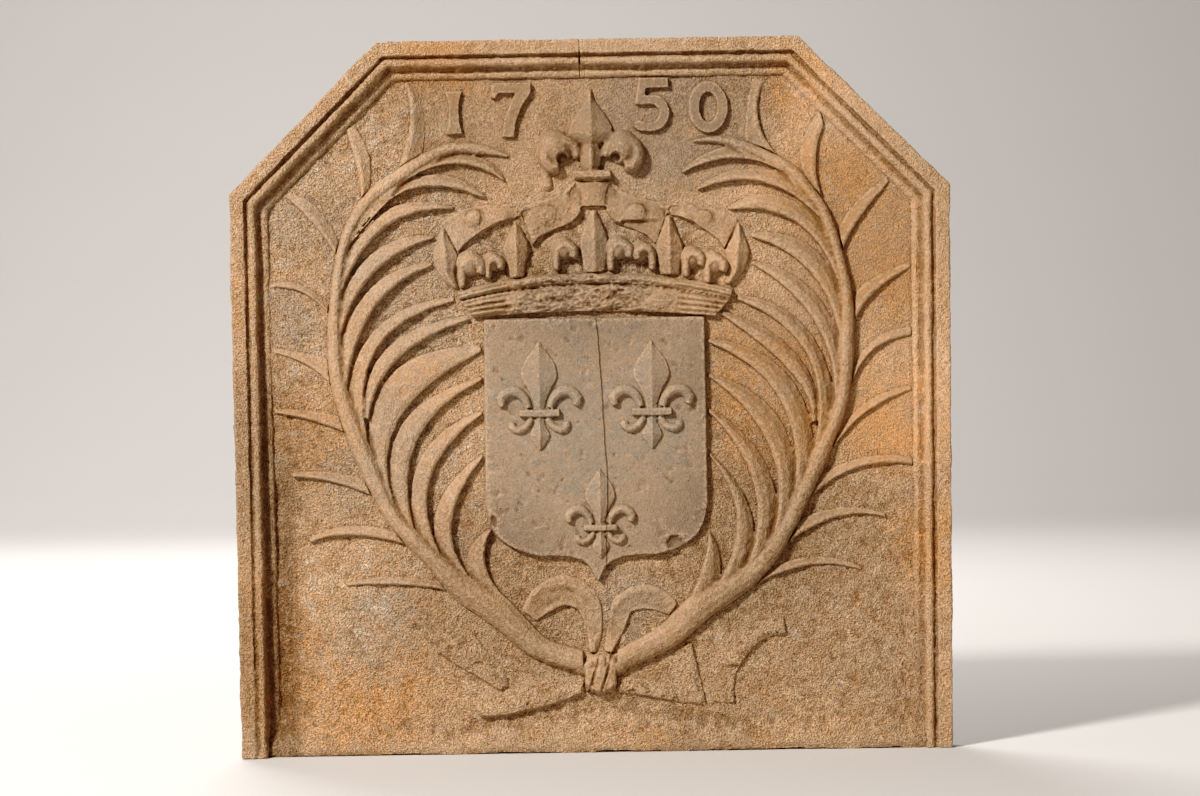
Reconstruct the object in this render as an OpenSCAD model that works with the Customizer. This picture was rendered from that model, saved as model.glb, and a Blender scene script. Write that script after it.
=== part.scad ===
// Cast hearth plate with a moulded border and a carved coat of arms: a shield with three lilies
// under an open crown, between two palm branches tied with a ribbon.
// X runs to the right, Z up, and the carved face looks to -Y. The plate stands on Z = 0 and its
// outline is centred on X = 0. Each carved form is a pattern piece seated face to face on the plate.

/* [Plate] */
// Width of the plate across its shoulders
plate_w = 718; // [640:2:800]
// Width of the plate at its foot
foot_w = 709; // [630:1:800]
// Height of the plate
plate_h = 712; // [640:2:800]
// Width of the straight top edge
top_w = 420; // [340:2:480]
// Height at which the sloping shoulders begin
shoulder_h = 562; // [520:2:620]
// Thickness of the plate behind its field
plate_t = 26; // [16:1:40]

/* [Border moulding] */
// Width of the flat outer rim
rim_w = 15; // [8:1:24]
// Height of the rim above the field
rim_h = 18; // [16:1:28]
// Width of the groove inside the rim
groove_w = 3; // [2:0.5:6]
// Depth of that groove below the rim
groove_d = 7; // [3:0.5:9]
// Width of the round bead
bead_w = 8; // [5:0.5:12]
// How far the bead stays below the rim
bead_drop = 2; // [0:0.5:4]
// Width of the hollow slope that ends in a small fillet
cove_w = 12; // [8:0.5:20]
// Height of the small fillet at the foot of the slope
fillet_h = 6; // [3:0.5:8]
// Round of the rim's outer edge
rim_round = 2.5; // [1:0.5:4]

/* [Bottom lip] */
// Height of the raised strip along the foot
lip_h = 30; // [16:1:36]
// How far that strip stands out at the foot
lip_rise = 5; // [2:0.5:8]

/* [Relief of the carving] */
// How far the carving sits to the right of the plate's middle line
carving_shift = 4; // [0:1:8]
// Relief of the shield
shield_relief = 8; // [4:0.5:10]
// Relief of the lilies above the shield
lily_relief = 7; // [4:0.5:8]
// Relief of the palm stems
stem_relief = 13; // [9:0.5:15]
// Relief of the inner palm leaves
leaf_relief = 10; // [7:0.5:12]
// Relief of the thin outer palm leaves
outer_leaf_relief = 6; // [3:0.5:9]
// Relief of the crown's band
band_relief = 9; // [6:0.5:12]
// Relief of the roll along the band's upper edge
roll_relief = 12; // [8:0.5:15]
// Relief of the ridges and jewels above the band's face
jewel_relief = 4; // [2:0.5:6]
// Relief of the crown's petals
petal_relief = 12; // [7:0.5:15]
// Relief of the crown's curls
curl_relief = 13; // [8:0.5:16]
// Relief of the crown's arches
arch_relief = 7; // [4:0.5:9]
// Diameter of the pearls on the arches
pearl_d = 18; // [12:1:20]
// Relief of the lily on top of the crown
finial_relief = 14; // [9:0.5:16]
// Relief of the numerals
numeral_relief = 6; // [3:0.5:9]
// Relief of the ribbon's loops and tails
ribbon_relief = 6; // [3:0.5:9]
// Relief of the ribbon's knot
knot_relief = 14; // [9:0.5:16]

/* [Clearance] */
// Clearance of the carving to the border, and of a thin leaf to its stem
seat_gap = 0.4; // [0.2:0.1:1]

/* [Hidden] */
$fn = 48;

border_w = rim_w + groove_w + bead_w + cove_w;
back_y = (plate_t + rim_h) / 2;
field_y = back_y - plate_t;

// Size of the field for which the points of the carving are drawn; the carving fills any other field
drawn_w = 642;
drawn_h = 674;
stretch_x = (plate_w - 2 * border_w) / drawn_w;
stretch_z = (plate_h - border_w) / drawn_h;
evenly = min(stretch_x, stretch_z);

// ---- Outline of the plate, from the left foot over the top to the right foot ----
corners = [
    [-foot_w / 2, 0], [-plate_w / 2, shoulder_h], [-top_w / 2, plate_h],
    [top_w / 2, plate_h], [plate_w / 2, shoulder_h], [foot_w / 2, 0]
];
function along(k) = (corners[k + 1] - corners[k]) / norm(corners[k + 1] - corners[k]);
function inward(k) = [along(k)[1], -along(k)[0]];
function crossing(p, u, q, w) = p + u * cross(q - p, w) / cross(u, w);
// Corner k of the outline moved inwards by d; the two feet stay on the floor line
function inset(k, d) =
    k == 0 ? crossing(corners[0] + inward(0) * d, along(0), [0, 0], [1, 0])
    : k == 5 ? crossing(corners[5] + inward(4) * d, along(4), [0, 0], [1, 0])
    : crossing(corners[k] + inward(k - 1) * d, along(k - 1), corners[k] + inward(k) * d, along(k));
function between(a, b, z) = a[0] + (b[0] - a[0]) * (z - a[1]) / (b[1] - a[1]);
// Half the width of the field at height z
function field_edge(z) =
    z < inset(4, border_w)[1] ? between(inset(5, border_w), inset(4, border_w), z)
    : between(inset(4, border_w), inset(3, border_w), z);
field_top = inset(2, border_w)[1];

// ---- Curves of the carving ----
// A bow from a to b that passes m half way
function bow(a, m, b, n) = [
    for (i = [0:n]) let (t = i / n, c = 2 * m - (a + b) / 2)
        (1 - t) * (1 - t) * a + 2 * t * (1 - t) * c + t * t * b
];
function knit(p, q, r, s, t) =
    0.5 * (2 * q + (r - p) * t + (2 * p - 5 * q + 4 * r - s) * t * t + (3 * q - p - 3 * r + s) * t * t * t);
// A smooth curve through all points, with k steps from one point to the next
function curve(pts, k) = let (n = len(pts)) [
    for (i = [0:(n - 1) * k]) let (j = min(floor(i / k), n - 2))
        knit(pts[max(j - 1, 0)], pts[j], pts[j + 1], pts[min(j + 2, n - 1)], i / k - j)
];
function side(line, i) = let (d = line[min(i + 1, len(line) - 1)] - line[max(i - 1, 0)])
    [-d[1], d[0]] / norm(d);
// The value a share t of the way through a list
function within(list, t) = let (u = t * (len(list) - 1), j = min(floor(u), len(list) - 2))
    list[j] + (list[j + 1] - list[j]) * (u - j);
// One edge of a band of the given widths along a line; s is 1 for its left edge and -1 for its right
function edge(line, widths, s) = let (last = len(line) - 1)
    [for (i = [0:last]) line[i] + side(line, i) * s * within(widths, i / last) / 2];
function mirrored(pts, x) = [for (p = pts) [2 * x - p[0], p[1]]];
function column(rows, a) = [for (r = rows) [r[a], r[a + 1]]];
function turning(pts) = let (n = len(pts))
    [for (i = [0:n - 1]) cross(pts[i], pts[(i + 1) % n])] * [for (i = [0:n - 1]) 1];
function backwards(list) = [for (i = [len(list) - 1:-1:0]) list[i]];
// Keeps a point of the carving inside the border
function inside(p) = let (e = field_edge(p[1] * stretch_z) - seat_gap) [
    min(max(p[0], (-e - carving_shift) / stretch_x), (e - carving_shift) / stretch_x),
    min(p[1], (field_top - seat_gap) / stretch_z)
];
// A drawn point at height h over the field
function at(p, h) = [p[0] * stretch_x + carving_shift, field_y - h, p[1] * stretch_z];

// ---- Cross-sections of the carving: share of the width, share of the relief ----
LEAF = [[0, 0.8], [0.22, 1], [0.62, 0.85], [1, 0.3]];
STEM = [[0, 0.6], [0.25, 0.95], [0.55, 1], [0.85, 0.78], [1, 0.38]];
FADING = [[0, 0.8], [0.3, 1], [1, 0.15]];
ROUND = [[0, 0.38], [0.16, 0.78], [0.5, 1], [0.84, 0.78], [1, 0.35]];
PETAL = [[0, 0.4], [0.35, 0.78], [0.5, 1], [0.65, 0.78], [1, 0.4]];
FLAT = [[0, 0.8], [0.12, 1], [0.88, 1], [1, 0.8]];
CAP = [[0, 1], [0.3, 0.8], [1, 0.12]];
root_wall = 0.9;

// A raised strip between two edges, given as equally many points. share tells how much of the
// relief each of its sections has, and root holds points of a curved seat before the first section.
module strip(edge_a, edge_b, section, relief, share = [1, 1], seat = 0, root = []) {
    n = len(edge_a);
    m = len(section);
    r = len(root);
    heights = [for (i = [0:n - 1]) relief * within(share, i / (n - 1))];
    under_a = n * m;
    under_b = under_a + n;
    root_top = under_b + n;
    root_under = root_top + r;
    points = concat(
        [
            for (i = [0:n - 1]) for (q = section)
                at(edge_a[i] + (edge_b[i] - edge_a[i]) * q[0], seat + heights[i] * q[1])
        ],
        [for (p = edge_a) at(p, seat)],
        [for (p = edge_b) at(p, seat)],
        [for (p = root) at(p, seat + heights[0] * root_wall)],
        [for (p = root) at(p, seat)]
    );
    mid = floor(m / 2);
    start_top = concat([0], [for (i = [0:1:r - 1]) root_top + i], [m - 1]);
    start_under = concat([under_a], [for (i = [0:1:r - 1]) root_under + i], [under_b]);
    last = (n - 1) * m;
    quads = concat(
        [
            for (i = [0:n - 2]) for (j = [0:m - 2])
                [i * m + j, i * m + j + 1, (i + 1) * m + j + 1, (i + 1) * m + j]
        ],
        [for (i = [0:n - 2]) [under_a + i, i * m, (i + 1) * m, under_a + i + 1]],
        [for (i = [0:n - 2]) [i * m + m - 1, under_b + i, under_b + i + 1, (i + 1) * m + m - 1]],
        [for (i = [0:n - 2]) [under_b + i, under_a + i, under_a + i + 1, under_b + i + 1]],
        r == 0 ? [] : [for (i = [0:r]) [start_top[i + 1], start_top[i], start_under[i], start_under[i + 1]]]
    );
    triangles = concat(
        [for (q = quads) [q[0], q[1], q[2]]],
        [for (q = quads) [q[0], q[2], q[3]]],
        [[under_a + n - 1, last + m - 1, under_b + n - 1]],
        [for (j = [0:m - 2]) [under_a + n - 1, last + j, last + j + 1]],
        r == 0 ? [[under_a, under_b, m - 1]] : [],
        r == 0 ? [for (j = [0:m - 2]) [under_a, j + 1, j]] : [],
        r == 0 ? [] : [for (i = [0:r]) [mid, start_top[i], start_top[i + 1]]],
        r == 0 ? [] : [for (j = [0:1:mid - 2]) [mid, j + 1, j]],
        r == 0 ? [] : [for (j = [mid + 1:1:m - 2]) [mid, j + 1, j]],
        r == 0 ? [] : [for (i = [1:r]) [under_a, start_under[i + 1], start_under[i]]]
    );
    turned = turning(concat(edge_a, backwards(edge_b))) < 0;
    polyhedron(points, [for (t = triangles) turned ? backwards(t) : t]);
}

// A strip of the given widths along a smooth line through the points
module sweep(pts, widths, section, relief, share = [1, 1], seat = 0, steps = 3) {
    line = curve(pts, steps);
    strip(edge(line, widths, 1), edge(line, widths, -1), section, relief, share, seat);
}

// A symmetric petal, given by its left edge from the foot to the tip
module petal(x, left, relief, share = [0.7, 1, 0.5], seat = 0) {
    strip(curve(left, 2), mirrored(curve(left, 2), x), PETAL, relief, share, seat);
}

// A flat-topped form cut out of board, in drawn points
module board_form(relief) {
    translate([carving_shift, field_y, 0]) rotate([90, 0, 0]) linear_extrude(relief) children();
}

// ---- Plate and border ----
module back_plate() {
    color("#8a6248")
        translate([0, back_y, 0]) rotate([90, 0, 0]) linear_extrude(plate_t) polygon(corners);
}

bead_h = rim_h - bead_drop;
bead_0 = rim_w + groove_w;
cove_0 = bead_0 + bead_w;
edge_chamfer = 1;
BORDER = [
    [0, 0], [0, rim_h - rim_round], [rim_round * 0.3, rim_h - rim_round * 0.3], [rim_round, rim_h],
    [rim_w - edge_chamfer, rim_h], [rim_w, rim_h - edge_chamfer], [rim_w, rim_h - groove_d],
    [bead_0, rim_h - groove_d], [bead_0 + bead_w * 0.06, bead_h - bead_w * 0.25],
    [bead_0 + bead_w * 0.25, bead_h - bead_w * 0.08], [bead_0 + bead_w * 0.5, bead_h],
    [bead_0 + bead_w * 0.75, bead_h - bead_w * 0.08], [cove_0, bead_h - bead_w * 0.3],
    [cove_0 + cove_w * 0.08, fillet_h + 1], [cove_0 + cove_w * 0.22, fillet_h * 0.75],
    [cove_0 + cove_w * 0.36, fillet_h * 0.8], [cove_0 + cove_w * 0.6, fillet_h],
    [cove_0 + cove_w * 0.88, fillet_h * 0.7], [border_w, fillet_h * 0.3], [border_w, 0]
];
overrun = 5;

// The moulding along edge k of the outline, cut at the mitres of its two corners
module moulding(k) {
    length = norm(corners[k + 1] - corners[k]);
    color("#a3714c") intersection() {
        translate([0, field_y + 1, 0]) rotate([90, 0, 0]) linear_extrude(rim_h + 2)
            polygon([
                inset(k, -overrun), inset(k + 1, -overrun),
                inset(k + 1, border_w + overrun), inset(k, border_w + overrun)
            ]);
        translate([corners[k][0], field_y, corners[k][1]]) rotate([0, atan2(along(k)[0], along(k)[1]), 0])
            translate([0, 0, -overrun]) linear_extrude(length + 2 * overrun)
                polygon([for (q = BORDER) [q[0], -q[1]]]);
    }
}
module left_border() { moulding(0); }
module upper_left_border() { moulding(1); }
module top_border() { moulding(2); }
module upper_right_border() { moulding(3); }
module right_border() { moulding(4); }

module bottom_lip() {
    foot = inset(5, border_w)[0];
    head = field_edge(lip_h);
    brow = 1;
    shoulder = lip_h * 0.55;
    color("#a3714c") polyhedron(
        [
            for (s = [-1, 1]) each [
                [s * foot, field_y, 0], [s * foot, field_y - lip_rise, 0],
                [s * field_edge(shoulder), field_y - lip_rise * 0.8, shoulder],
                [s * head, field_y - brow, lip_h], [s * head, field_y, lip_h]
            ]
        ],
        [
            [0, 2, 1], [0, 4, 2], [2, 4, 3], [5, 6, 7], [5, 7, 9], [7, 8, 9],
            [0, 1, 6], [0, 6, 5], [1, 2, 7], [1, 7, 6], [2, 3, 8], [2, 8, 7],
            [3, 4, 9], [3, 9, 8], [4, 0, 5], [4, 5, 9]
        ]
    );
}

// ---- Numerals, each drawn about its middle ----
NUMERAL_COLOR = "#a87b55";
module numeral(x, z) {
    color(NUMERAL_COLOR) board_form(numeral_relief)
        translate([x * stretch_x, z * stretch_z]) scale([evenly, evenly]) children();
}
ONE_HALF = [[8.5, -21.5], [7.5, -17], [5.5, -10], [5, 0], [5.5, 10], [7.5, 17], [8.5, 21.5]];
module numeral_1() {
    numeral(-138, 641) polygon(concat(ONE_HALF, backwards(mirrored(ONE_HALF, 0))));
}
module numeral_2() {
    numeral(-81, 643) polygon([
        [-19, 27], [-20, 12], [-15, 12], [-12, 17], [5, 17], [-1, 5], [-7, -10], [-9, -27],
        [3, -27], [5, -12], [11, 3], [20, 17], [20, 27]
    ]);
}
FIVE_BOWL = [
    [-6, 9], [4, 10], [13, 6], [18, -4], [17, -15], [10, -24], [-2, -27], [-14, -25], [-17, -19],
    [-12, -15], [-3, -18], [4, -16], [8, -9], [6, -2], [-1, 1], [-9, 0], [-16, 1]
];
module numeral_3() {
    numeral(59, 646) polygon(concat([[-12, 27], [17, 27], [18, 17], [-5, 17]], curve(FIVE_BOWL, 2)));
}
function oval(rx, rz) = [for (i = [0:23]) [rx * cos(i * 15), rz * sin(i * 15)]];
module numeral_4() {
    numeral(116, 643) difference() {
        polygon(oval(20, 26));
        polygon(oval(9, 15));
    }
}

// ---- Shield and lilies ----
SHIELD_SIDE = [[-111, 434], [-112, 262], [-111, 245], [-107, 228], [-98, 214], [-80, 203]];
SHIELD_FOOT = [[-80, 203], [-58, 197], [-30, 196], [-12, 189], [-3, 174], [0, 171]];
SHIELD_HALF = concat(curve(SHIELD_SIDE, 3), curve(SHIELD_FOOT, 3));
shield_x = -1;
module shield() {
    half = [for (p = SHIELD_HALF) [p[0] * stretch_x, p[1] * stretch_z]];
    middle = shield_x * stretch_x;
    color("#93785f") board_form(shield_relief)
        polygon(concat(half, backwards(mirrored([for (p = half) if (p[0] < middle) p], middle))));
}

// A lily of the shield, drawn about the middle of its cross band
function about(c, s, pts) = [for (p = pts) c + s * p];
LILY_PETAL = [[-5, 4.5], [-6, 12], [-12, 25], [-18, 37], [-14, 52], [-5, 63], [-1.5, 70]];
LILY_ARM = [[-11, 5], [-14, 14], [-22, 21], [-31, 21], [-38, 14], [-36, 7]];
LILY_LEG = [[-8, -5], [-13, -13], [-21, -17], [-27, -14], [-27, -9]];
LILY_FOOT = [[-4, -4.5], [-5, -12], [-10, -22], [-5, -31], [-1, -37]];
LILY_BAND = [[-20, 0], [0, -0.5], [20, 0]];
module lily(c, s) {
    color("#a08268") {
        petal(c[0], about(c, s, LILY_PETAL), lily_relief, [0.6, 1, 0.9, 0.4], shield_relief);
        for (turn = [1, -1]) {
            arm = [for (p = LILY_ARM) [p[0] * turn, p[1]]];
            leg = [for (p = LILY_LEG) [p[0] * turn, p[1]]];
            sweep(
                about(c, s, arm), s * [7, 9, 11, 11, 11, 7], ROUND, lily_relief,
                [0.7, 1, 1, 0.9], shield_relief, 2
            );
            sweep(
                about(c, s, leg), s * [6, 7, 8, 8, 6], ROUND, lily_relief * 0.8,
                [0.7, 1, 0.8], shield_relief, 2
            );
        }
        sweep(about(c, s, LILY_BAND), s * [7, 7], FLAT, lily_relief * 0.9, [1, 1], shield_relief);
        petal(c[0], about(c, s, LILY_FOOT), lily_relief, [0.6, 1, 0.4], shield_relief);
    }
}
module left_lily() { lily([-57, 340], 1); }
module right_lily() { lily([55, 340], 1); }
module lower_lily() { lily([2, 225], 0.83); }

// ---- Crown ----
CROWN_COLOR = "#a37d5c";
BAND_FOOT = bow([-122, 436], [-1, 441], [120, 434], 12);
BAND_HEAD = bow([-134, 452], [0, 467], [134, 450], 12);
ROLL_FOOT = bow([-135, 453], [0, 468], [135, 451], 12);
ROLL_HEAD = bow([-138, 463], [0, 479], [138, 461], 12);
module crown_band() {
    color(CROWN_COLOR) strip(BAND_FOOT, BAND_HEAD, FLAT, band_relief);
}
module crown_roll() {
    color(CROWN_COLOR) strip(ROLL_FOOT, ROLL_HEAD, ROUND, roll_relief);
}
// Point of the band at x, a share s of the way from its foot to its head
function on_band(x, s) = let (t = (x + 128) / 256, foot = within(BAND_FOOT, t), head = within(BAND_HEAD, t))
    [x, foot[1] + (head[1] - foot[1]) * s];
module crown_jewels() {
    color(CROWN_COLOR) {
        for (x = [-76, 64]) {
            c = on_band(x, 0.5);
            strip(
                bow(c + [-14, 0], c + [0, -8], c + [14, 0], 6),
                bow(c + [-13.9, 0.2], c + [0, 8], c + [13.9, 0.2], 6),
                PETAL, jewel_relief, [0.5, 1, 0.5], band_relief
            );
        }
        for (s = [-1, 1]) for (level = [0.24, 0.5, 0.76])
            sweep(
                [on_band(s * 90, level), on_band(s * 106, level), on_band(s * 121, level)],
                [4, 5, 4], ROUND, jewel_relief * 0.6, [0.6, 1, 0.6], band_relief, 2
            );
    }
}
END_LEAF_LEFT = [[-141, 466], [-154, 479], [-160, 497], [-156, 512], [-151, 526]];
END_LEAF_RIGHT = [[-137, 468], [-141, 482], [-137, 498], [-145, 513], [-150, 527]];
CENTRE_PETAL = [[-9, 480.5], [-12, 495], [-13, 512], [-8, 526], [-2, 541]];
SIDE_PETAL = [[67, 477], [64, 490], [62, 503], [68, 519], [73.5, 534]];
BUD = [[-84, 476], [-86, 488], [-90, 504], [-85, 518], [-78.5, 529]];
module crown_petals() {
    color(CROWN_COLOR) {
        petal(0, CENTRE_PETAL, petal_relief, [0.6, 1, 0.5]);
        petal(75, SIDE_PETAL, petal_relief, [0.6, 1, 0.5]);
        petal(-78, BUD, petal_relief, [0.6, 1, 0.5]);
        strip(curve(END_LEAF_LEFT, 2), curve(END_LEAF_RIGHT, 2), PETAL, petal_relief, [0.6, 1, 0.5]);
        strip(
            mirrored(curve(END_LEAF_LEFT, 2), -3), mirrored(curve(END_LEAF_RIGHT, 2), -3), PETAL,
            petal_relief, [0.6, 1, 0.5]
        );
    }
}
// Hooded curl over the point c; turn is 1 where it opens to the right, -1 to the left
CURL = [[-12, -20], [-11, 2], [-1, 9], [9, 3], [9, -5]];
module curl(c, turn, size) {
    sweep(
        about(c, size, [for (p = CURL) [p[0] * turn, p[1]]]), size * [4, 8, 10, 10, 7], ROUND, curl_relief,
        [0.6, 0.9, 1, 0.9], 0, 2
    );
}
module crown_curls() {
    color(CROWN_COLOR) {
        curl([-121.5, 486], 1, 0.9);
        curl([-99, 489], 1, 0.6);
        curl([-28, 500], 1, 0.8);
        curl([27, 500], 1, 0.85);
        curl([49.5, 497], -1, 0.7);
        curl([100, 490], 1, 0.72);
        curl([122, 484], 1, 0.75);
    }
}
ARCH_OUTER = [[-136, 502], [-128, 511], [-113, 522], [-96, 531], [-77, 537]];
ARCH_OUTER_BACK = [[-151, 531], [-141, 538], [-126, 545], [-105, 548], [-77, 548]];
RIGHT_OUTER_ARCH = [[130, 502], [123, 511], [110, 522], [95, 531], [77, 537]];
RIGHT_OUTER_BACK = [[144, 529], [136, 535], [124, 541], [105, 545], [77, 547]];
ARCH_INNER = [[-61, 508], [-54, 517], [-38, 524], [-21, 531], [-13, 541]];
ARCH_INNER_BACK = [[-75, 545], [-58, 550], [-42, 554], [-28, 561], [-19, 571]];
// A pearl rises through the arch from the plate: a dome on a drum
pearl_seat = arch_relief * 0.5;
module pearl(p) {
    r = pearl_d * evenly / 2;
    dome = [for (a = [0:15:90]) [r * cos(a), pearl_seat + r * sin(a)]];
    translate(at(p, 0)) rotate([90, 0, 0]) rotate_extrude() polygon(concat([[0, 0], [r, 0]], dome));
}
module left_arch() {
    color(CROWN_COLOR) {
        strip(curve(ARCH_OUTER, 2), curve(ARCH_OUTER_BACK, 2), CAP, arch_relief);
        strip(curve(ARCH_INNER, 2), curve(ARCH_INNER_BACK, 2), CAP, arch_relief);
        pearl([-119, 535]);
        pearl([-46, 538]);
    }
}
module right_arch() {
    color(CROWN_COLOR) {
        strip(curve(RIGHT_OUTER_ARCH, 2), curve(RIGHT_OUTER_BACK, 2), CAP, arch_relief);
        strip(mirrored(curve(ARCH_INNER, 2), 0), mirrored(curve(ARCH_INNER_BACK, 2), 0), CAP, arch_relief);
        pearl([43, 538]);
        pearl([110, 531]);
    }
}
module crown_cap() {
    color(CROWN_COLOR) strip(
        curve([[-11, 546], [-12, 556], [-14, 564], [-17, 570]], 2),
        curve([[11, 546], [12, 556], [14, 564], [17, 570]], 2), FLAT, arch_relief, [1, 1.2]
    );
}
FINIAL_PETAL = [[-9, 608], [-15, 612], [-23, 619], [-19, 631], [-10, 644], [-4, 654], [-3, 661]];
FINIAL_BULB = [[-8, 582], [-11, 590], [-10, 600], [-8, 606.5]];
FINIAL_CURL = [[-15, 596], [-19, 605], [-30, 610], [-43, 606], [-47, 595], [-42, 586], [-35, 585]];
module finial_lily() {
    color(CROWN_COLOR) {
        petal(-2, FINIAL_PETAL, finial_relief * 0.85, [0.6, 1, 0.6, 0.4]);
        petal(-2, FINIAL_BULB, finial_relief, [0.7, 1, 0.8]);
        for (line = [FINIAL_CURL, mirrored(FINIAL_CURL, -1)])
            sweep(line, [7, 10, 13, 13, 13, 12, 9], ROUND, finial_relief, [0.6, 1, 1, 0.9]);
        sweep([[-17, 576], [0, 575.5], [17, 576]], [8, 9, 8], FLAT, finial_relief * 0.8);
    }
}

// ---- Palm branches ----
// Stations of each stem: its inner edge and its outer edge, from the knot to the tip. Leaves part
// from the inner edge at these stations.
LEFT_STEM = [
    [-17, 102, -17, 80], [-52, 114, -64, 94], [-76, 138, -92, 115], [-94, 156, -112, 132],
    [-128, 177, -146, 157], [-158, 201, -173, 190], [-184, 227, -199, 218], [-203, 252, -219, 247],
    [-228, 313, -247, 309], [-249, 369, -265, 370], [-254, 421, -268, 421], [-252, 465, -264, 463],
    [-244, 510, -255, 513], [-222, 548, -232, 557], [-187, 574, -194, 587], [-145, 599, -147, 610],
    [-112, 599, -111, 609], [-85, 596, -84, 598]
];
RIGHT_STEM = [
    [17, 102, 17, 80], [60, 126, 72, 103], [92, 156, 108, 132], [121, 171, 136, 151],
    [149, 187, 163, 172], [175, 218, 189, 207], [197, 260, 213, 253], [217, 303, 233, 297],
    [238, 351, 252, 348], [243, 415, 259, 414], [243, 467, 256, 464], [226, 530, 239, 530],
    [208, 556, 219, 563], [190, 577, 197, 587], [135, 604, 139, 613], [100, 608, 100, 611]
];
stem_steps = 4;
LEFT_INNER = curve(column(LEFT_STEM, 0), stem_steps);
RIGHT_INNER = curve(column(RIGHT_STEM, 0), stem_steps);
module stem(rows) {
    color("#a87b55") strip(
        curve(column(rows, 0), stem_steps), curve(column(rows, 2), stem_steps), STEM, stem_relief,
        [1, 1, 1, 1, 0.95, 0.9, 0.8, 0.4]
    );
}
module left_stem() { stem(LEFT_STEM); }
module right_stem() { stem(RIGHT_STEM); }

// Inner leaves: first and last station of the root, middle of the lower edge, middle of the upper
// edge, and the lower and upper corner of the tip
LEFT_LEAVES = [
    [3, 4, [-113, 190], [-130, 203], [-107, 224], [-109, 225]],
    [4, 5, [-146, 232], [-159, 252], [-114, 297], [-115, 300]],
    [5, 6, [-167, 275], [-175, 300], [-114, 340], [-115, 343]],
    [6, 7, [-180, 313], [-196, 330], [-114, 374], [-115, 377]],
    [7, 8, [-197, 336], [-202, 384], [-114, 402], [-115, 409]],
    [8, 8, [-197, 396], [-209, 407], [-125, 434], [-127, 439]],
    [8, 9, [-219, 405], [-212, 433], [-140, 453], [-141, 457]],
    [9, 10, [-220, 447], [-217, 473], [-163, 488], [-162, 492]],
    [10, 11, [-220, 482], [-213, 508], [-160, 516], [-160, 519]],
    [11, 12, [-207, 528], [-199, 549], [-139, 545], [-140, 547]],
    [12, 14, [-187, 564], [-146, 579], [-108, 555], [-107, 557]],
    [14, 15, [-137, 590], [-108, 594], [-89, 572], [-88, 574]]
];
RIGHT_LEAVES = [
    [2, 3, [105, 190], [120, 199], [110, 220], [112, 220]],
    [3, 4, [138, 234], [151, 243], [112, 295], [113, 298]],
    [4, 5, [156, 265], [168, 287], [112, 339], [113, 342]],
    [5, 6, [172, 303], [180, 335], [112, 374], [113, 377]],
    [6, 7, [182, 352], [188, 379], [112, 408], [113, 412]],
    [7, 7, [196, 375], [201, 395], [126, 435], [127, 440]],
    [7, 8, [211, 394], [207, 425], [142, 450], [143, 455]],
    [8, 9, [219, 427], [211, 465], [157, 486], [159, 489]],
    [9, 10, [214, 478], [210, 507], [157, 513], [158, 517]],
    [10, 11, [201, 527], [180, 555], [134, 540], [135, 543]],
    [11, 13, [169, 567], [144, 580], [104, 560], [104, 563]],
    [13, 14, [141, 591], [110, 595], [89, 577], [89, 580]]
];
leaf_steps = 8;
leaf_share = [0.95, 1, 1, 0.95, 0.85, 0.6];
// The two roots of a leaf. One that parts at a single station springs from the crotch between its
// neighbours, a step along them
function roots(rows, inner, i) = let (
        first = inner[rows[i][0] * stem_steps],
        end = inner[rows[i][1] * stem_steps]
    ) rows[i][0] < rows[i][1] ? [first, end] : let (
        a = bow(first, rows[i - 1][3], rows[i - 1][5], leaf_steps)[1],
        b = bow(first, rows[i + 1][2], rows[i + 1][4], leaf_steps)[1],
        d = (b - a) / norm(b - a) * seat_gap
    ) [a + d, b - d];
module leaf(rows, inner, i) {
    row = rows[i];
    ends = roots(rows, inner, i);
    seated = [for (j = [row[0] * stem_steps + 1:1:row[1] * stem_steps - 1]) inner[j]];
    color("#a87b55") strip(
        bow(ends[0], row[2], row[4], leaf_steps), bow(ends[1], row[3], row[5], leaf_steps),
        LEAF, leaf_relief, leaf_share, 0, seated
    );
}
module left_leaf_1() { leaf(LEFT_LEAVES, LEFT_INNER, 0); }
module left_leaf_2() { leaf(LEFT_LEAVES, LEFT_INNER, 1); }
module left_leaf_3() { leaf(LEFT_LEAVES, LEFT_INNER, 2); }
module left_leaf_4() { leaf(LEFT_LEAVES, LEFT_INNER, 3); }
module left_leaf_5() { leaf(LEFT_LEAVES, LEFT_INNER, 4); }
module left_leaf_6() { leaf(LEFT_LEAVES, LEFT_INNER, 5); }
module left_leaf_7() { leaf(LEFT_LEAVES, LEFT_INNER, 6); }
module left_leaf_8() { leaf(LEFT_LEAVES, LEFT_INNER, 7); }
module left_leaf_9() { leaf(LEFT_LEAVES, LEFT_INNER, 8); }
module left_leaf_10() { leaf(LEFT_LEAVES, LEFT_INNER, 9); }
module left_leaf_11() { leaf(LEFT_LEAVES, LEFT_INNER, 10); }
module left_leaf_12() { leaf(LEFT_LEAVES, LEFT_INNER, 11); }
module right_leaf_1() { leaf(RIGHT_LEAVES, RIGHT_INNER, 0); }
module right_leaf_2() { leaf(RIGHT_LEAVES, RIGHT_INNER, 1); }
module right_leaf_3() { leaf(RIGHT_LEAVES, RIGHT_INNER, 2); }
module right_leaf_4() { leaf(RIGHT_LEAVES, RIGHT_INNER, 3); }
module right_leaf_5() { leaf(RIGHT_LEAVES, RIGHT_INNER, 4); }
module right_leaf_6() { leaf(RIGHT_LEAVES, RIGHT_INNER, 5); }
module right_leaf_7() { leaf(RIGHT_LEAVES, RIGHT_INNER, 6); }
module right_leaf_8() { leaf(RIGHT_LEAVES, RIGHT_INNER, 7); }
module right_leaf_9() { leaf(RIGHT_LEAVES, RIGHT_INNER, 8); }
module right_leaf_10() { leaf(RIGHT_LEAVES, RIGHT_INNER, 9); }
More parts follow.
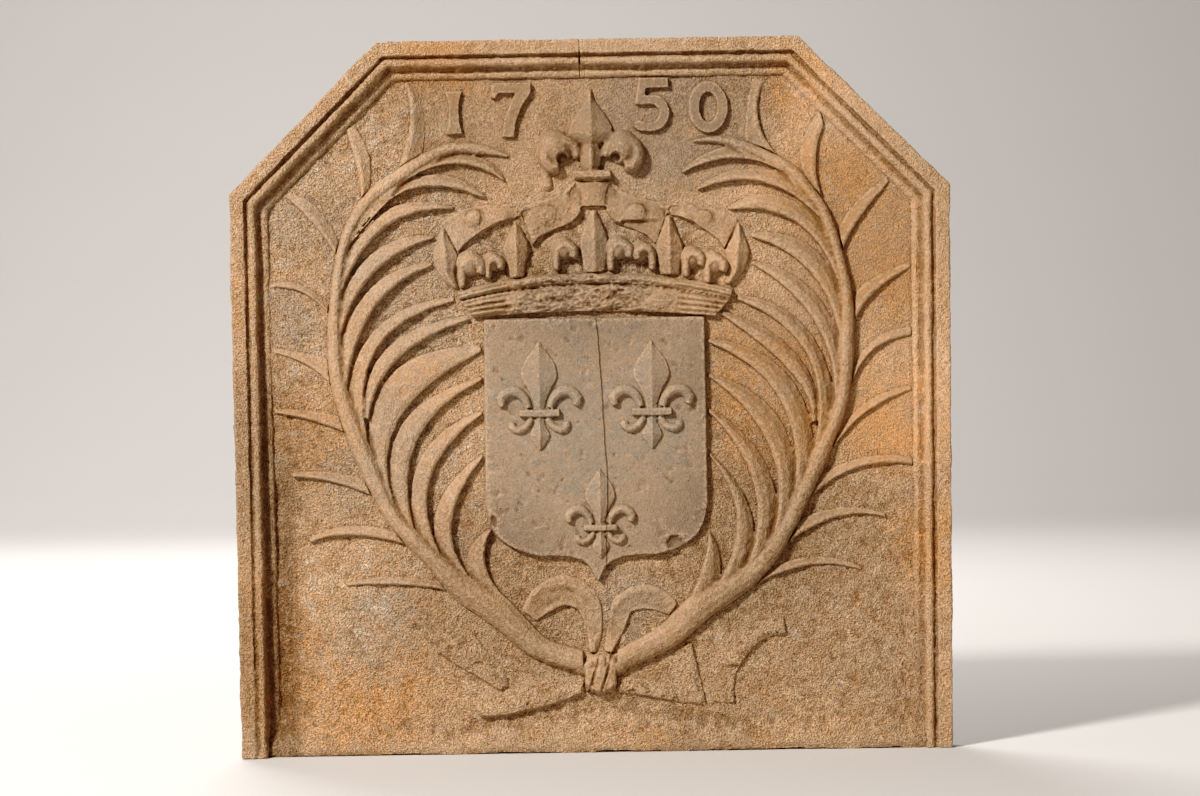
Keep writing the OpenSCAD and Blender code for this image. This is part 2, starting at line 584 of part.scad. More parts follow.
module right_leaf_11() { leaf(RIGHT_LEAVES, RIGHT_INNER, 10); }
module right_leaf_12() { leaf(RIGHT_LEAVES, RIGHT_INNER, 11); }

// Outer leaves: first and last step of the root along the stem, middle and tip of the lower edge, then
// of the upper edge
LEFT_OUTER = [
    [17, 18, [-205, 171], [-252, 170], [-210, 178], [-254, 173]],
    [23, 25, [-248, 221], [-288, 214], [-250, 230], [-289, 218]],
    [29, 30, [-265, 274], [-305, 280], [-268, 284], [-306, 284]],
    [33, 34, [-285, 336], [-322, 344], [-290, 346], [-322, 348]],
    [36, 38, [-288, 391], [-324, 404], [-294, 404], [-324, 410]],
    [42, 43, [-292, 464], [-324, 469], [-296, 472], [-324, 475]],
    [47, 48, [-280, 532], [-307, 560], [-276, 548], [-304, 564]],
    [52, 53, [-236, 590], [-247, 626], [-224, 600], [-238, 630]],
    [56, 58, [-182, 634], [-187, 671], [-168, 640], [-180, 674]]
];
RIGHT_OUTER = [
    [15, 17, [212, 184], [262, 178], [215, 192], [262, 182]],
    [20, 22, [240, 232], [288, 230], [243, 241], [286, 235]],
    [24, 26, [262, 281], [317, 283], [270, 291], [317, 290]],
    [28, 30, [270, 336], [317, 357], [277, 350], [317, 363]],
    [33, 34, [278, 398], [316, 412], [282, 411], [316, 420]],
    [37, 39, [280, 456], [317, 480], [276, 468], [317, 486]],
    [42, 43, [268, 533], [299, 567], [262, 545], [295, 571]],
    [46, 48, [223, 590], [236, 634], [207, 598], [228, 638]],
    [53, 55, [166, 630], [172, 668], [154, 634], [160, 672]]
];
module outer_leaves(rows, outer) {
    for (row = rows) {
        lower = [for (p = bow(outer[row[0]], row[2], row[3], leaf_steps)) inside(p)];
        upper = [for (p = bow(outer[row[1]], row[4], row[5], leaf_steps)) inside(p)];
        color("#a3774f") strip(
            lower, upper, FADING, outer_leaf_relief, [1, 1, 0.9, 0.5], 0,
            [for (j = [row[0] + 1:1:row[1] - 1]) outer[j]]
        );
    }
}
// The roots of the outer leaves: the stem's outer edge and the clearance
function beside(stem, s) = let (line = curve(column(stem, 2), stem_steps))
    [for (i = [0:len(line) - 1]) line[i] + side(line, i) * s * seat_gap];
module left_outer_leaves() { outer_leaves(LEFT_OUTER, beside(LEFT_STEM, 1)); }
module right_outer_leaves() { outer_leaves(RIGHT_OUTER, beside(RIGHT_STEM, -1)); }

// ---- Ribbon ----
RIBBON_COLOR = "#9c7350";
// Upright folds of the knot, as shares of its width and relief
KNOT = [
    [0, 0], [0, 0.6], [0.1, 0.85], [0.22, 0.9], [0.32, 0.7], [0.4, 0.92], [0.5, 1],
    [0.6, 0.92], [0.68, 0.7], [0.78, 0.9], [0.9, 0.85], [1, 0.6], [1, 0]
];
KNOT_SIDE = [[-13, 60], [-16, 70], [-15, 82], [-16, 92], [-13, 98]];
module knot() {
    knot_w = 34;
    knot_foot = 55;
    knot_h = 50;
    left = curve(KNOT_SIDE, 3);
    outline = concat(left, backwards(mirrored(left, 0)));
    color(RIBBON_COLOR) intersection() {
        translate([carving_shift, field_y + 1, 0]) rotate([90, 0, 0]) linear_extrude(knot_relief + 2)
            polygon([for (p = outline) [p[0] * stretch_x, p[1] * stretch_z]]);
        translate([carving_shift, field_y, knot_foot * stretch_z]) linear_extrude(knot_h * stretch_z)
            polygon([for (q = KNOT) [(q[0] - 0.5) * knot_w * stretch_x, -q[1] * knot_relief]]);
    }
}
LEFT_LOOP = [[-7, 100], [-6, 130], [-14, 153], [-36, 163], [-58, 152], [-70, 138]];
RIGHT_LOOP = [[73, 142], [63, 149], [45, 155], [24, 148], [18, 130], [8, 100]];
module left_loop() {
    color(RIBBON_COLOR) sweep(LEFT_LOOP, [8, 17, 25, 30, 28, 16], LEAF, ribbon_relief, [1, 1], 0, 2);
}
module right_loop() {
    color(RIBBON_COLOR) sweep(RIGHT_LOOP, [14, 20, 24, 21, 17, 8], LEAF, ribbon_relief, [1, 1], 0, 2);
}
module left_tail() {
    color(RIBBON_COLOR) {
        strip(
            curve([[-17, 60], [-50, 49], [-85, 41], [-120, 37]], 3),
            curve([[-17, 76], [-50, 74], [-84, 66], [-128, 52]], 3), FADING, ribbon_relief
        );
        strip(
            curve([[-102, 64], [-126, 80], [-145, 90], [-164, 104]], 2),
            curve([[-92, 68], [-100, 88], [-116, 104], [-130, 123]], 2), FADING, ribbon_relief
        );
    }
}
module right_tail() {
    color(RIBBON_COLOR) {
        strip(
            curve([[17, 60], [45, 56], [77, 50]], 3),
            curve([[17, 75], [45, 72], [72, 66]], 3), FADING, ribbon_relief
        );
        strip(
            curve([[91, 108], [98, 80], [105, 46]], 3),
            curve([[75, 100], [75, 80], [79, 50]], 3), FADING, ribbon_relief
        );
        strip(
            curve([[133, 48], [135, 78], [160, 109], [186, 116]], 3),
            curve([[108, 48], [114, 92], [148, 129], [183, 141]], 3), FADING, ribbon_relief
        );
    }
}

back_plate();
bottom_lip();
left_border();
upper_left_border();
top_border();
upper_right_border();
right_border();
numeral_1();
numeral_2();
numeral_3();
numeral_4();
shield();
left_lily();
right_lily();
lower_lily();
crown_band();
crown_roll();
crown_jewels();
crown_petals();
crown_curls();
left_arch();
right_arch();
crown_cap();
finial_lily();
left_stem();
right_stem();
left_leaf_1();
left_leaf_2();
left_leaf_3();
left_leaf_4();
left_leaf_5();
left_leaf_6();
left_leaf_7();
left_leaf_8();
left_leaf_9();
left_leaf_10();
left_leaf_11();
left_leaf_12();
right_leaf_1();
right_leaf_2();
right_leaf_3();
right_leaf_4();
right_leaf_5();
right_leaf_6();
right_leaf_7();
right_leaf_8();
right_leaf_9();
right_leaf_10();
right_leaf_11();
right_leaf_12();
left_outer_leaves();
right_outer_leaves();
knot();
left_loop();
right_loop();
left_tail();
right_tail();
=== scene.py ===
"""An old cast-iron hearth plate: a moulded border round a crowned shield of lilies between two tied
palm branches. The carved forms are cast anew from the plain solids, with soft edges, pits and rust.
Everything is in metres, in the solids' own frame."""

import math

import bpy
import numpy as np
from bpy.props import FloatProperty, FloatVectorProperty, IntProperty, PointerProperty
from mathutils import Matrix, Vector, noise
from mathutils.bvhtree import BVHTree


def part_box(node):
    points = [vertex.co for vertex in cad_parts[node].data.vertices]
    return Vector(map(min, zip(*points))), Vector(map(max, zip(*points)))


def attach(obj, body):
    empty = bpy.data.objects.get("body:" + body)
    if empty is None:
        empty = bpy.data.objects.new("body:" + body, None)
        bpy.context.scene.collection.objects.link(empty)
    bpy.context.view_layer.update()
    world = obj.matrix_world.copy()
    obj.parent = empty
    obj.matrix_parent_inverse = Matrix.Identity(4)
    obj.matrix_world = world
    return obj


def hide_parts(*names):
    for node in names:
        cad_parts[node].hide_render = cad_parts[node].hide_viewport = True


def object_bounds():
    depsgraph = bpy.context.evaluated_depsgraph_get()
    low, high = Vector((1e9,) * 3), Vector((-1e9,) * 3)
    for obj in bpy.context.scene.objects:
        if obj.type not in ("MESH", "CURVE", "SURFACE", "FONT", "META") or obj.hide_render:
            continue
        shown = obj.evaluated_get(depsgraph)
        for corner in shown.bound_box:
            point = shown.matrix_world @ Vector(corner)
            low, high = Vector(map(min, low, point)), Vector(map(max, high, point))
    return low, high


bl_info = {
    "name": "Old hearth plate",
    "version": (1, 0, 0),
    "blender": (4, 5, 0),
    "location": "View3D > Sidebar > Hearth plate",
    "description": "Casts the hearth plate's carved forms with pits and rust, and sets up its studio",
    "category": "Object",
}

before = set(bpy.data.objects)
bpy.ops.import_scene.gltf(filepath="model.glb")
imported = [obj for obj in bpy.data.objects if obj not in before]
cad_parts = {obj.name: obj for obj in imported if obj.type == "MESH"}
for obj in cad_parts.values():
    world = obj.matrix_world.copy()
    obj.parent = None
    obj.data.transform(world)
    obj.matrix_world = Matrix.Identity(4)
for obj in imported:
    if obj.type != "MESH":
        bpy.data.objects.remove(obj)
CAD_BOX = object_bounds()
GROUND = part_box("back_plate")[0].y
SHIELD_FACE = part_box("shield")[0].y
RIM_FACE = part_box("top_border")[0].y
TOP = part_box("back_plate")[1].z

FIELD_BACK = GROUND + 0.0115  # the plate body starts this far back, behind the rough ground
FIELD_HALF = 0.314  # half the width of the field between the side borders, at the foot
FIELD_SPREAD = 0.006  # what that half gains from the foot to the shoulders
SHOULDER = 0.56  # height of the shoulders
FOOT_HALF = 0.3545  # half the width of the foot, over the border
SIDE_LEAN = 0.008  # how far the sides spread for each metre of height
TOP_HALF = 0.210  # half the width of the straight top
MIDDLE = 0.004  # the crown and the knot stand this far right of the plate's middle

ROOT = 0.003  # a carving is carried this far down into what it is cast on
BORDER_ROOT = 0.0155  # and the border this far, past the front of the plate body
FOOT = 0.003  # the fillet at a carving's foot starts this high
UNWORN = 0.0015  # special wear leaves this lowest part of a carving alone
# NOOK and BORDER_NOOK set how high up a carving and the border the painted shade at their foot reaches
NOOK = 4.0  # a nook reaches this high up a carving, in millimetres
BORDER_NOOK = 5.0  # and this high up the border
MM = 1000  # millimetres in a metre

LEAVES = range(1, 13)


# ---------------------------------------------------------------- settings


class CastingSettings(bpy.types.PropertyGroup):
    """Mesh spacing, and how soft and worn the casting is"""

    carving_step: FloatProperty(
        name="Carving step",
        description="Mesh spacing on the carved forms",
        default=0.0012,
        min=0.0008,
        unit="LENGTH",
    )
    border_step: FloatProperty(
        name="Border step",
        description="Mesh spacing on the border",
        default=0.00128,
        min=0.001,
        unit="LENGTH",
    )
    plate_step: FloatProperty(
        name="Plate step",
        description="Mesh spacing on the plate's back and edges",
        default=0.004,
        min=0.002,
        unit="LENGTH",
    )
    ground_step: FloatProperty(
        name="Ground step",
        description="Mesh spacing on the ground between the carvings",
        default=0.00222,
        min=0.002,
        unit="LENGTH",
    )
    softness: IntProperty(
        name="Softness",
        description="How often the worn edges are smoothed",
        default=3,
        min=0,
        max=20,
    )
    fillet: FloatProperty(
        name="Fillet",
        description="How far a carving spreads where it meets the ground",
        default=0.0013,
        unit="LENGTH",
    )
    wear: FloatProperty(
        name="Wear",
        description="Height of the slow unevenness of the forms",
        default=0.0011,
        unit="LENGTH",
    )
    pits: FloatProperty(
        name="Pits",
        description="Height of the rust pits on the forms",
        default=0.0008,
        unit="LENGTH",
    )


class RustColours(bpy.types.PropertyGroup):
    """Colours of the rust"""

    tan: FloatVectorProperty(
        name="Dry rust",
        description="The plate's main colour",
        subtype="COLOR",
        default=(0.350, 0.194, 0.097),
    )
    pale: FloatVectorProperty(
        name="Pale rust",
        description="Colour of the worn, lit parts",
        subtype="COLOR",
        default=(0.465, 0.318, 0.200),
    )
    orange: FloatVectorProperty(
        name="Fresh rust",
        description="Colour of the orange patches",
        subtype="COLOR",
        default=(0.450, 0.185, 0.045),
    )
    grey: FloatVectorProperty(
        name="Grey iron",
        description="Colour of the smoother grey patches",
        subtype="COLOR",
        default=(0.275, 0.215, 0.158),
    )
    dust: FloatVectorProperty(
        name="Dust",
        description="Colour of the pale, dusty patches",
        subtype="COLOR",
        default=(0.470, 0.375, 0.285),
    )
    # Also the colour of the painted shade in the hollows, at the foot of the forms and in the cove at the
    # lower left
    dark: FloatVectorProperty(
        name="Hollows",
        description="Colour deep in the hollows",
        subtype="COLOR",
        default=(0.082, 0.030, 0.005),
    )


class StudioSettings(bpy.types.PropertyGroup):
    """The camera's lens and the power of the lights"""

    lens: FloatProperty(
        name="Lens",
        description="Focal length in millimetres",
        default=85.0,
        min=20.0,
    )
    key_power: FloatProperty(
        name="Key light",
        description="Power of the main light",
        default=325.0,
        subtype="POWER",
    )
    fill_power: FloatProperty(
        name="Fill light",
        description="Power of the soft fill",
        default=6.0,
        subtype="POWER",
    )
    sky: FloatProperty(
        name="Surrounding light",
        description="Strength of the light from all round",
        default=0.19,
        min=0.0,
    )
    backdrop_power: FloatProperty(
        name="Backdrop light",
        description="Power of the light on the paper behind the plate",
        default=186.0,
        subtype="POWER",
    )


# ---------------------------------------------------------------- tools for meshes


def only(ob):
    """Makes ob the one selected, active object."""
    bpy.ops.object.select_all(action="DESELECT")
    ob.hide_set(False)
    ob.select_set(True)
    bpy.context.view_layer.objects.active = ob


def points(ob):
    """The mesh's points, a row of x, y and z for each."""
    co = np.empty(len(ob.data.vertices) * 3, np.float64)
    ob.data.vertices.foreach_get("co", co)
    return co.reshape(-1, 3)


def put_points(ob, co):
    """Moves the mesh's points to these places."""
    ob.data.vertices.foreach_set("co", np.ascontiguousarray(co, np.float64).ravel())
    ob.data.update()


def normals(ob):
    """The direction in which the surface faces at each point."""
    no = np.empty(len(ob.data.vertices) * 3, np.float32)
    ob.data.vertices.foreach_get("normal", no)
    return no.reshape(-1, 3)


def weigh(ob, name, values, levels=16):
    """Makes a vertex group with these weights, rounded to a few levels."""
    group = ob.vertex_groups.new(name=name)
    nearest = np.rint(np.clip(values, 0, 1) * levels).astype(int)
    for level in range(1, levels + 1):
        here = np.nonzero(nearest == level)[0]
        if len(here):
            group.add(here.tolist(), level / levels, "REPLACE")


def stamp(ob, name, values):
    """Stores a number for each point, for the material to read."""
    ob.data.attributes.new(name, "FLOAT", "POINT").data.foreach_set("value", np.asarray(values, np.float32))


def modify(ob, kind, **values):
    """Adds a modifier, sets it and applies it."""
    only(ob)
    bpy.ops.object.modifier_add(type=kind)
    mod = ob.modifiers[-1]
    for key, value in values.items():
        setattr(mod, key, value)
    name = mod.name
    if "FINISHED" not in bpy.ops.object.modifier_apply(modifier=name):
        raise RuntimeError(f"{kind} could not be applied to {ob.name}")


def texture(name, kind, size, **values):
    """A named solid texture that pushes the surface; size is in metres."""
    tex = bpy.data.textures.get(name) or bpy.data.textures.new(name, kind)
    tex.noise_scale = size
    for key, value in values.items():
        setattr(tex, key, value)
    return tex


def push(ob, tex, strength, mid=0.5, group="", direction="NORMAL"):
    """Raises and lowers the surface by a texture; what is as grey as mid stays where it is."""
    modify(
        ob, "DISPLACE",
        texture=tex, texture_coords="LOCAL", strength=strength, mid_level=mid, vertex_group=group,
        direction=direction,
    )


def spread(ob, width, group=""):
    """Moves the surface out by this width, or in where it is below 0."""
    modify(ob, "DISPLACE", strength=width, mid_level=0.0, vertex_group=group)


def remesh(ob, step):
    """Makes the form anew as one closed, even skin."""
    modify(ob, "REMESH", mode="VOXEL", voxel_size=step, adaptivity=0.0)


def soften(ob, times, group=""):
    """Smooths the surface this often."""
    modify(ob, "SMOOTH", factor=0.5, iterations=times, vertex_group=group)


def swells():
    """Slow unevenness, a few centimetres from one swell to the next."""
    return texture("slow_swells", "CLOUDS", 0.045, noise_depth=2, noise_basis="BLENDER_ORIGINAL")


def lumps():
    """Lumps about as large as a fingertip."""
    return texture("casting_lumps", "CLOUDS", 0.011, noise_depth=3, noise_basis="BLENDER_ORIGINAL")


def rust_pits():
    """Small pits with raised edges."""
    return texture("rust_pits", "STUCCI", 0.0036, noise_basis="ORIGINAL_PERLIN", turbulence=4.0)


def ground_grit():
    """Coarser pits, for the ground between the carvings."""
    return texture("ground_grit", "STUCCI", 0.0044, noise_basis="ORIGINAL_PERLIN", turbulence=5.0)


def pattern_copy(name, nodes):
    """The solids' meshes as one new object, with their doubles merged."""
    bpy.ops.object.select_all(action="DESELECT")
    copies = []
    for node in nodes:
        ob = bpy.data.objects.new(name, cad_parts[node].data.copy())
        bpy.context.scene.collection.objects.link(ob)
        copies.append(ob)
    for ob in copies:
        ob.select_set(True)
    bpy.context.view_layer.objects.active = copies[0]
    if len(copies) > 1:
        bpy.ops.object.join()
    ob = bpy.context.view_layer.objects.active
    ob.name = ob.data.name = name
    ob.data.materials.clear()
    only(ob)
    bpy.ops.object.mode_set(mode="EDIT")
    bpy.ops.mesh.select_all(action="SELECT")
    bpy.ops.mesh.remove_doubles(threshold=0.00001)
    bpy.ops.object.mode_set(mode="OBJECT")
    return ob


def add_knob(ob, x, z, radius, ground):
    """Joins a round knob to a carving, half sunk in the ground."""
    bpy.ops.object.select_all(action="DESELECT")
    bpy.ops.mesh.primitive_uv_sphere_add(segments=24, ring_count=16, radius=radius, location=(x, ground, z))
    bpy.ops.object.transform_apply(location=True)
    ob.select_set(True)
    bpy.context.view_layer.objects.active = ob
    bpy.ops.object.join()


def cut(ob, place, outward, fill=False):
    """Cuts off what lies beyond a plane, and closes the cut if asked to."""
    only(ob)
    bpy.ops.object.mode_set(mode="EDIT")
    bpy.ops.mesh.select_all(action="SELECT")
    bpy.ops.mesh.bisect(plane_co=place, plane_no=outward, use_fill=fill, clear_outer=True)
    bpy.ops.object.mode_set(mode="OBJECT")


def sink(ob, ground, depth):
    """Carries the back of a carving down into what it is cast on."""
    co = points(ob)
    co[co[:, 1] > ground - 0.0001, 1] = ground + depth
    put_points(ob, co)


def bumps(co, size, stretch=(1, 1, 1), octaves=4):
    """Smooth noise of about -1 to 1 at each point, in lumps of this size, drawn out along the axes."""
    at = co / (np.array(stretch) * size)
    return np.array([noise.fractal(Vector(p), 0.6, 2.0, octaves) for p in at])


def ramp(value, low, high):
    """0 at low and 1 at high, and smooth between."""
    t = np.clip((value - low) / (high - low), 0, 1)
    return t * t * (3 - 2 * t)


def keep_in_box(ob):
    """No grain of rust stands out of the plate's own size."""
    low, high = (np.array(v) for v in CAD_BOX)
    put_points(ob, np.clip(points(ob), low, high))


def read_hollows(ob):
    """Stores how far each point lies in a hollow (above 0) or on a ridge (below 0), in millimetres."""
    me = ob.data
    ends = np.empty(len(me.edges) * 2, np.int64)
    me.edges.foreach_get("vertices", ends)
    a, b = ends.reshape(-1, 2).T
    n = len(me.vertices)
    count = np.maximum(np.bincount(a, minlength=n) + np.bincount(b, minlength=n), 1)[:, None]
    start = points(ob)
    no = normals(ob)
    co = start.copy()
    for rounds, name in ((3, "fine_hollow"), (15, "hollow")):
        for _ in range(rounds):
            sums = [np.bincount(a, co[b, k], n) + np.bincount(b, co[a, k], n) for k in range(3)]
            co = np.stack(sums, 1) / count
        stamp(ob, name, ((co - start) * no).sum(1) * MM)


def finish(ob, material, *nodes):
    """Material, smooth faces, and what the frame has to know of the piece."""
    only(ob)
    bpy.ops.object.shade_smooth()
    ob.data.materials.clear()
    ob.data.materials.append(material)
    ob.vertex_groups.clear()
    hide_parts(*nodes)
    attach(ob, "root")


def cast(
    name, nodes, material,
    ground=GROUND, step=None, rough=1.0, fillet=1.0, soft=None, swell=0.0, close=0.0, shape=None,
    knobs=(),
):
    """A carved form as it comes from the sand: soft edges, a fillet at its foot, wear and pits.
    swell thickens it, close fills chinks of up to twice its width, and shape(points, height) gives how
    much of each point has been eaten away."""
    s = bpy.context.scene.hearth_casting
    ob = pattern_copy(name, nodes)
    for x, z, radius in knobs:
        add_knob(ob, x, z, radius, ground)
    sink(ob, ground, ROOT)
    remesh(ob, step or s.carving_step)
    if close:
        spread(ob, close)
        remesh(ob, step or s.carving_step)
        spread(ob, -close)
    soften(ob, s.softness if soft is None else soft)
    if swell:
        spread(ob, swell)
        soften(ob, 2)
    if shape:
        co = points(ob)
        height = ground - co[:, 1]
        co[:, 1] += np.where(height > UNWORN, shape(co, height), 0)
        put_points(ob, co)
    height = ground - points(ob)[:, 1]
    weigh(ob, "foot", np.clip(1 - height / FOOT, 0, 1) ** 1.5)
    spread(ob, s.fillet * fillet, "foot")
    soften(ob, 2, "foot")
    push(ob, swells(), s.wear * rough, 0.55)
    push(ob, lumps(), s.wear * rough, 0.55)
    push(ob, rust_pits(), s.pits * rough, 0.6)
    keep_in_box(ob)
    read_hollows(ob)
    # The nook reading paints shade on the lowest few millimetres of the carving
    height = (ground - points(ob)[:, 1]) * MM
    stamp(ob, "nook", np.clip(1 - height / NOOK, 0, 1))
    finish(ob, material, *nodes)


# ---------------------------------------------------------------- materials


class Recipe:
    """Puts shader nodes together, each from left to right."""

    def __init__(self, name):
        self.material = bpy.data.materials.new(name)
        self.material.use_nodes = True
        self.tree = self.material.node_tree
        self.tree.nodes.clear()
        self.at = 0

    def add(self, kind, **values):
        """A new node, set out beside the last one."""
        node = self.tree.nodes.new(kind)
        self.at += 1
        node.location = (self.at % 12 * 190, -(self.at // 12) * 320)
        for key, value in values.items():
            setattr(node, key, value)
        return node

    def feed(self, socket, value):
        """Gives a socket its number, or the output that drives it."""
        if isinstance(value, bpy.types.NodeSocket):
            self.tree.links.new(value, socket)
        elif value is not None:
            socket.default_value = value

    def math(self, operation, a, b=None, c=None, clamp=False):
        """What an operation makes of two or three numbers or outputs."""
        node = self.add("ShaderNodeMath", operation=operation, use_clamp=clamp)
        for k, value in enumerate((a, b, c)):
            self.feed(node.inputs[k], value)
        return node.outputs[0]

    def sway(self, pattern, strength, value):
        """Adds to a value what a pattern has above or below its middle, times this strength."""
        return self.math("MULTIPLY_ADD", self.math("SUBTRACT", pattern, 0.5), strength, value)

    def span(self, value, low, high, start=0.0, end=1.0):
        """Turns low to high into start to end, smoothly, and holds it there."""
        node = self.add("ShaderNodeMapRange", interpolation_type="SMOOTHSTEP")
        for k, v in enumerate((value, low, high, start, end)):
            self.feed(node.inputs[k], v)
        return node.outputs[0]

    def noise(self, place, scale, detail=4.0, rough=0.55, warp=0.0):
        """Cloudy noise of 0 to 1; scale is in lumps a metre."""
        node = self.add("ShaderNodeTexNoise")
        self.feed(node.inputs["Vector"], place)
        for key, value in (("Scale", scale), ("Detail", detail), ("Roughness", rough), ("Distortion", warp)):
            node.inputs[key].default_value = value
        return node.outputs[0]

    def cells(self, place, scale):
        """How far each place is from the middle of its cell."""
        node = self.add("ShaderNodeTexVoronoi", feature="F1")
        self.feed(node.inputs["Vector"], place)
        node.inputs["Scale"].default_value = scale
        return node.outputs["Distance"]

    def mix(self, share, a, b, blend="MIX"):
        """Colour a, with this share of colour b blended in."""
        node = self.add("ShaderNodeMix", data_type="RGBA", blend_type=blend)
        self.feed(node.inputs[0], share)
        for k, value in ((6, a), (7, b)):
            self.feed(node.inputs[k], value if isinstance(value, bpy.types.NodeSocket) else (*value, 1.0))
        return node.outputs[2]

    def grey(self, value):
        """The same number as a grey colour."""
        node = self.add("ShaderNodeCombineColor")
        for k in range(3):
            self.feed(node.inputs[k], value)
        return node.outputs[0]

    def near(self, place, spot, radius):
        """1 at a spot of the plate, falling to 0 at the radius."""
        node = self.add("ShaderNodeVectorMath", operation="DISTANCE")
        self.feed(node.inputs[0], place)
        node.inputs[1].default_value = (spot[0], GROUND, spot[1])
        return self.span(node.outputs["Value"], radius, radius * 0.25)

    def reading(self, name):
        """A number that was stamped on the mesh."""
        return self.add("ShaderNodeAttribute", attribute_name=name).outputs["Fac"]

    def done(self, shader):
        """The material, with this shader as its surface."""
        out = self.add("ShaderNodeOutputMaterial")
        self.tree.links.new(shader.outputs[0], out.inputs[0])
        return self.material


def trace(curve, course):
    """Leads a curve through these points; its two ends are there already."""
    first, *between, last = course
    curve.points[0].location = first
    for spot in between:
        curve.points.new(*spot)
    curve.points[-1].location = last


# Round zones of the plate, each with its place across and up, and its radius
ORANGE_SPOTS = [
    ((0.29, 0.49), 0.12), ((0.31, 0.33), 0.10), ((-0.35, 0.45), 0.07), ((-0.22, 0.06), 0.12),
    ((0.35, 0.20), 0.10), ((0.21, 0.665), 0.06), ((-0.15, 0.70), 0.08), ((0.05, 0.0), 0.05),
    ((-0.35, 0.12), 0.14), ((-0.28, 0.33), 0.08), ((0.24, 0.55), 0.10), ((0.18, 0.36), 0.12),
]
GREY_SPOTS = [
    ((0.003, 0.33), 0.17), ((-0.20, 0.30), 0.10), ((-0.17, 0.47), 0.14), ((-0.28, 0.55), 0.09),
    ((-0.22, 0.12), 0.08), ((0.03, 0.15), 0.06), ((-0.31, 0.44), 0.06), ((0.08, 0.63), 0.14),
    ((0.0, 0.455), 0.12),
]
DUSTY_SPOTS = [((-0.30, 0.44), 0.16), ((-0.24, 0.16), 0.12), ((-0.20, 0.60), 0.10), ((-0.10, 0.28), 0.12)]
SMOOTH_SPOTS = [
    ((0.02, 0.62), 0.20), ((-0.08, 0.64), 0.14), ((0.003, 0.33), 0.20), ((0.12, 0.60), 0.12),
    ((0.27, 0.50), 0.17), ((0.30, 0.36), 0.13), ((0.17, 0.42), 0.16), ((0.24, 0.60), 0.13),
]
# Darker zones: beside the lower left border a painted shadow of the border, near the head painted shade where
# the key light falls more, elsewhere just darker
DARK_AND_SHADED_SPOTS = [
    ((0.03, 0.62), 0.20), ((-0.12, 0.63), 0.12), ((0.16, 0.22), 0.15), ((-0.11, 0.16), 0.14),
    ((-0.36, 0.30), 0.14), ((-0.36, 0.10), 0.12), ((0.0, 0.50), 0.16), ((0.12, 0.645), 0.13),
    ((-0.10, 0.655), 0.10), ((0.17, 0.38), 0.14), ((0.28, 0.52), 0.16),
]
# BRIGHT_BORDER is painted light, brightening the border on the right, which the key light reaches less, and
# near the head
BRIGHT_BORDER = [((0.345, 0.44), 0.26), ((0.345, 0.14), 0.26), ((0.12, 0.705), 0.20)]
BRIGHT_GROUND = [((0.0, -0.01), 0.10), ((0.22, -0.01), 0.10), ((-0.20, 0.09), 0.20)]
DIM_HEAD = [((0.09, 0.64), 0.12), ((-0.11, 0.645), 0.11), ((0.0, 0.64), 0.09)]


def zone(r, place, spots):
    """1 inside any of these spots of the plate, 0 far from all of them."""
    whole = None
    for spot, radius in spots:
        here = r.near(place, spot, radius)
        whole = here if whole is None else r.math("MAXIMUM", whole, here)
    return whole


class Grain:
    """The patterns of one kind of rust, from hand-sized patches down to single grains."""

    def __init__(self, r):
        self.place = r.add("ShaderNodeTexCoord").outputs["Object"]
        self.patches = r.noise(self.place, 9.0, 5.0, 0.62, 0.4)
        self.clouds = r.noise(self.place, 60.0, 8.0, 0.74)
        self.blisters = r.noise(self.place, 130.0, 3.0, 0.60, 0.5)
        self.speckle = r.noise(self.place, 400.0, 2.0, 0.50, 0.4)
        self.grit = r.noise(self.place, 680.0, 1.0, 0.50, 0.3)
        holes = r.cells(self.place, 260.0)
        self.pinholes = r.math("MULTIPLY", r.span(holes, 0.30, 0.08), r.span(self.blisters, 0.48, 0.62))
        self.smooth = zone(r, self.place, SMOOTH_SPOTS)


def rust_colour(r, g, orange, grey, dusty, least_grey):
    """Tan rust with pale clouds, and over it the orange, grey and dusty patches."""
    c = bpy.context.scene.hearth_rust
    clouding = r.math("SUBTRACT", r.span(g.clouds, 0.36, 0.66), 0.5)
    pale = r.math("MULTIPLY_ADD", clouding, r.span(g.smooth, 0.0, 1.0, 0.7, 0.4), 0.45)
    colour = r.mix(pale, tuple(c.tan), tuple(c.pale))

    fresh = r.math("MULTIPLY_ADD", zone(r, g.place, ORANGE_SPOTS), 0.34, g.patches)
    fresh = r.sway(g.speckle, 0.9, r.sway(g.clouds, 1.0, fresh))
    fresh = r.math("MULTIPLY", r.span(fresh, 0.55, 1.05), 0.55 * orange, clamp=True)
    colour = r.mix(fresh, colour, tuple(c.orange))

    bare = r.math("MULTIPLY_ADD", zone(r, g.place, GREY_SPOTS), 0.34, r.noise(g.place, 17.0, 6.0, 0.66, 0.3))
    bare = r.sway(g.blisters, 0.9, bare)
    bare = r.math("MULTIPLY", r.span(bare, 0.54, 0.92), 0.85 * grey, clamp=True)
    colour = r.mix(r.math("MAXIMUM", bare, least_grey), colour, tuple(c.grey))

    dust = r.math("MULTIPLY_ADD", zone(r, g.place, DUSTY_SPOTS), 0.07, r.noise(g.place, 48.0, 6.0, 0.62, 0.8))
    dust = r.math("MULTIPLY", r.span(dust, 0.58, 0.74), dusty, clamp=True)
    return r.mix(dust, colour, tuple(c.dust))


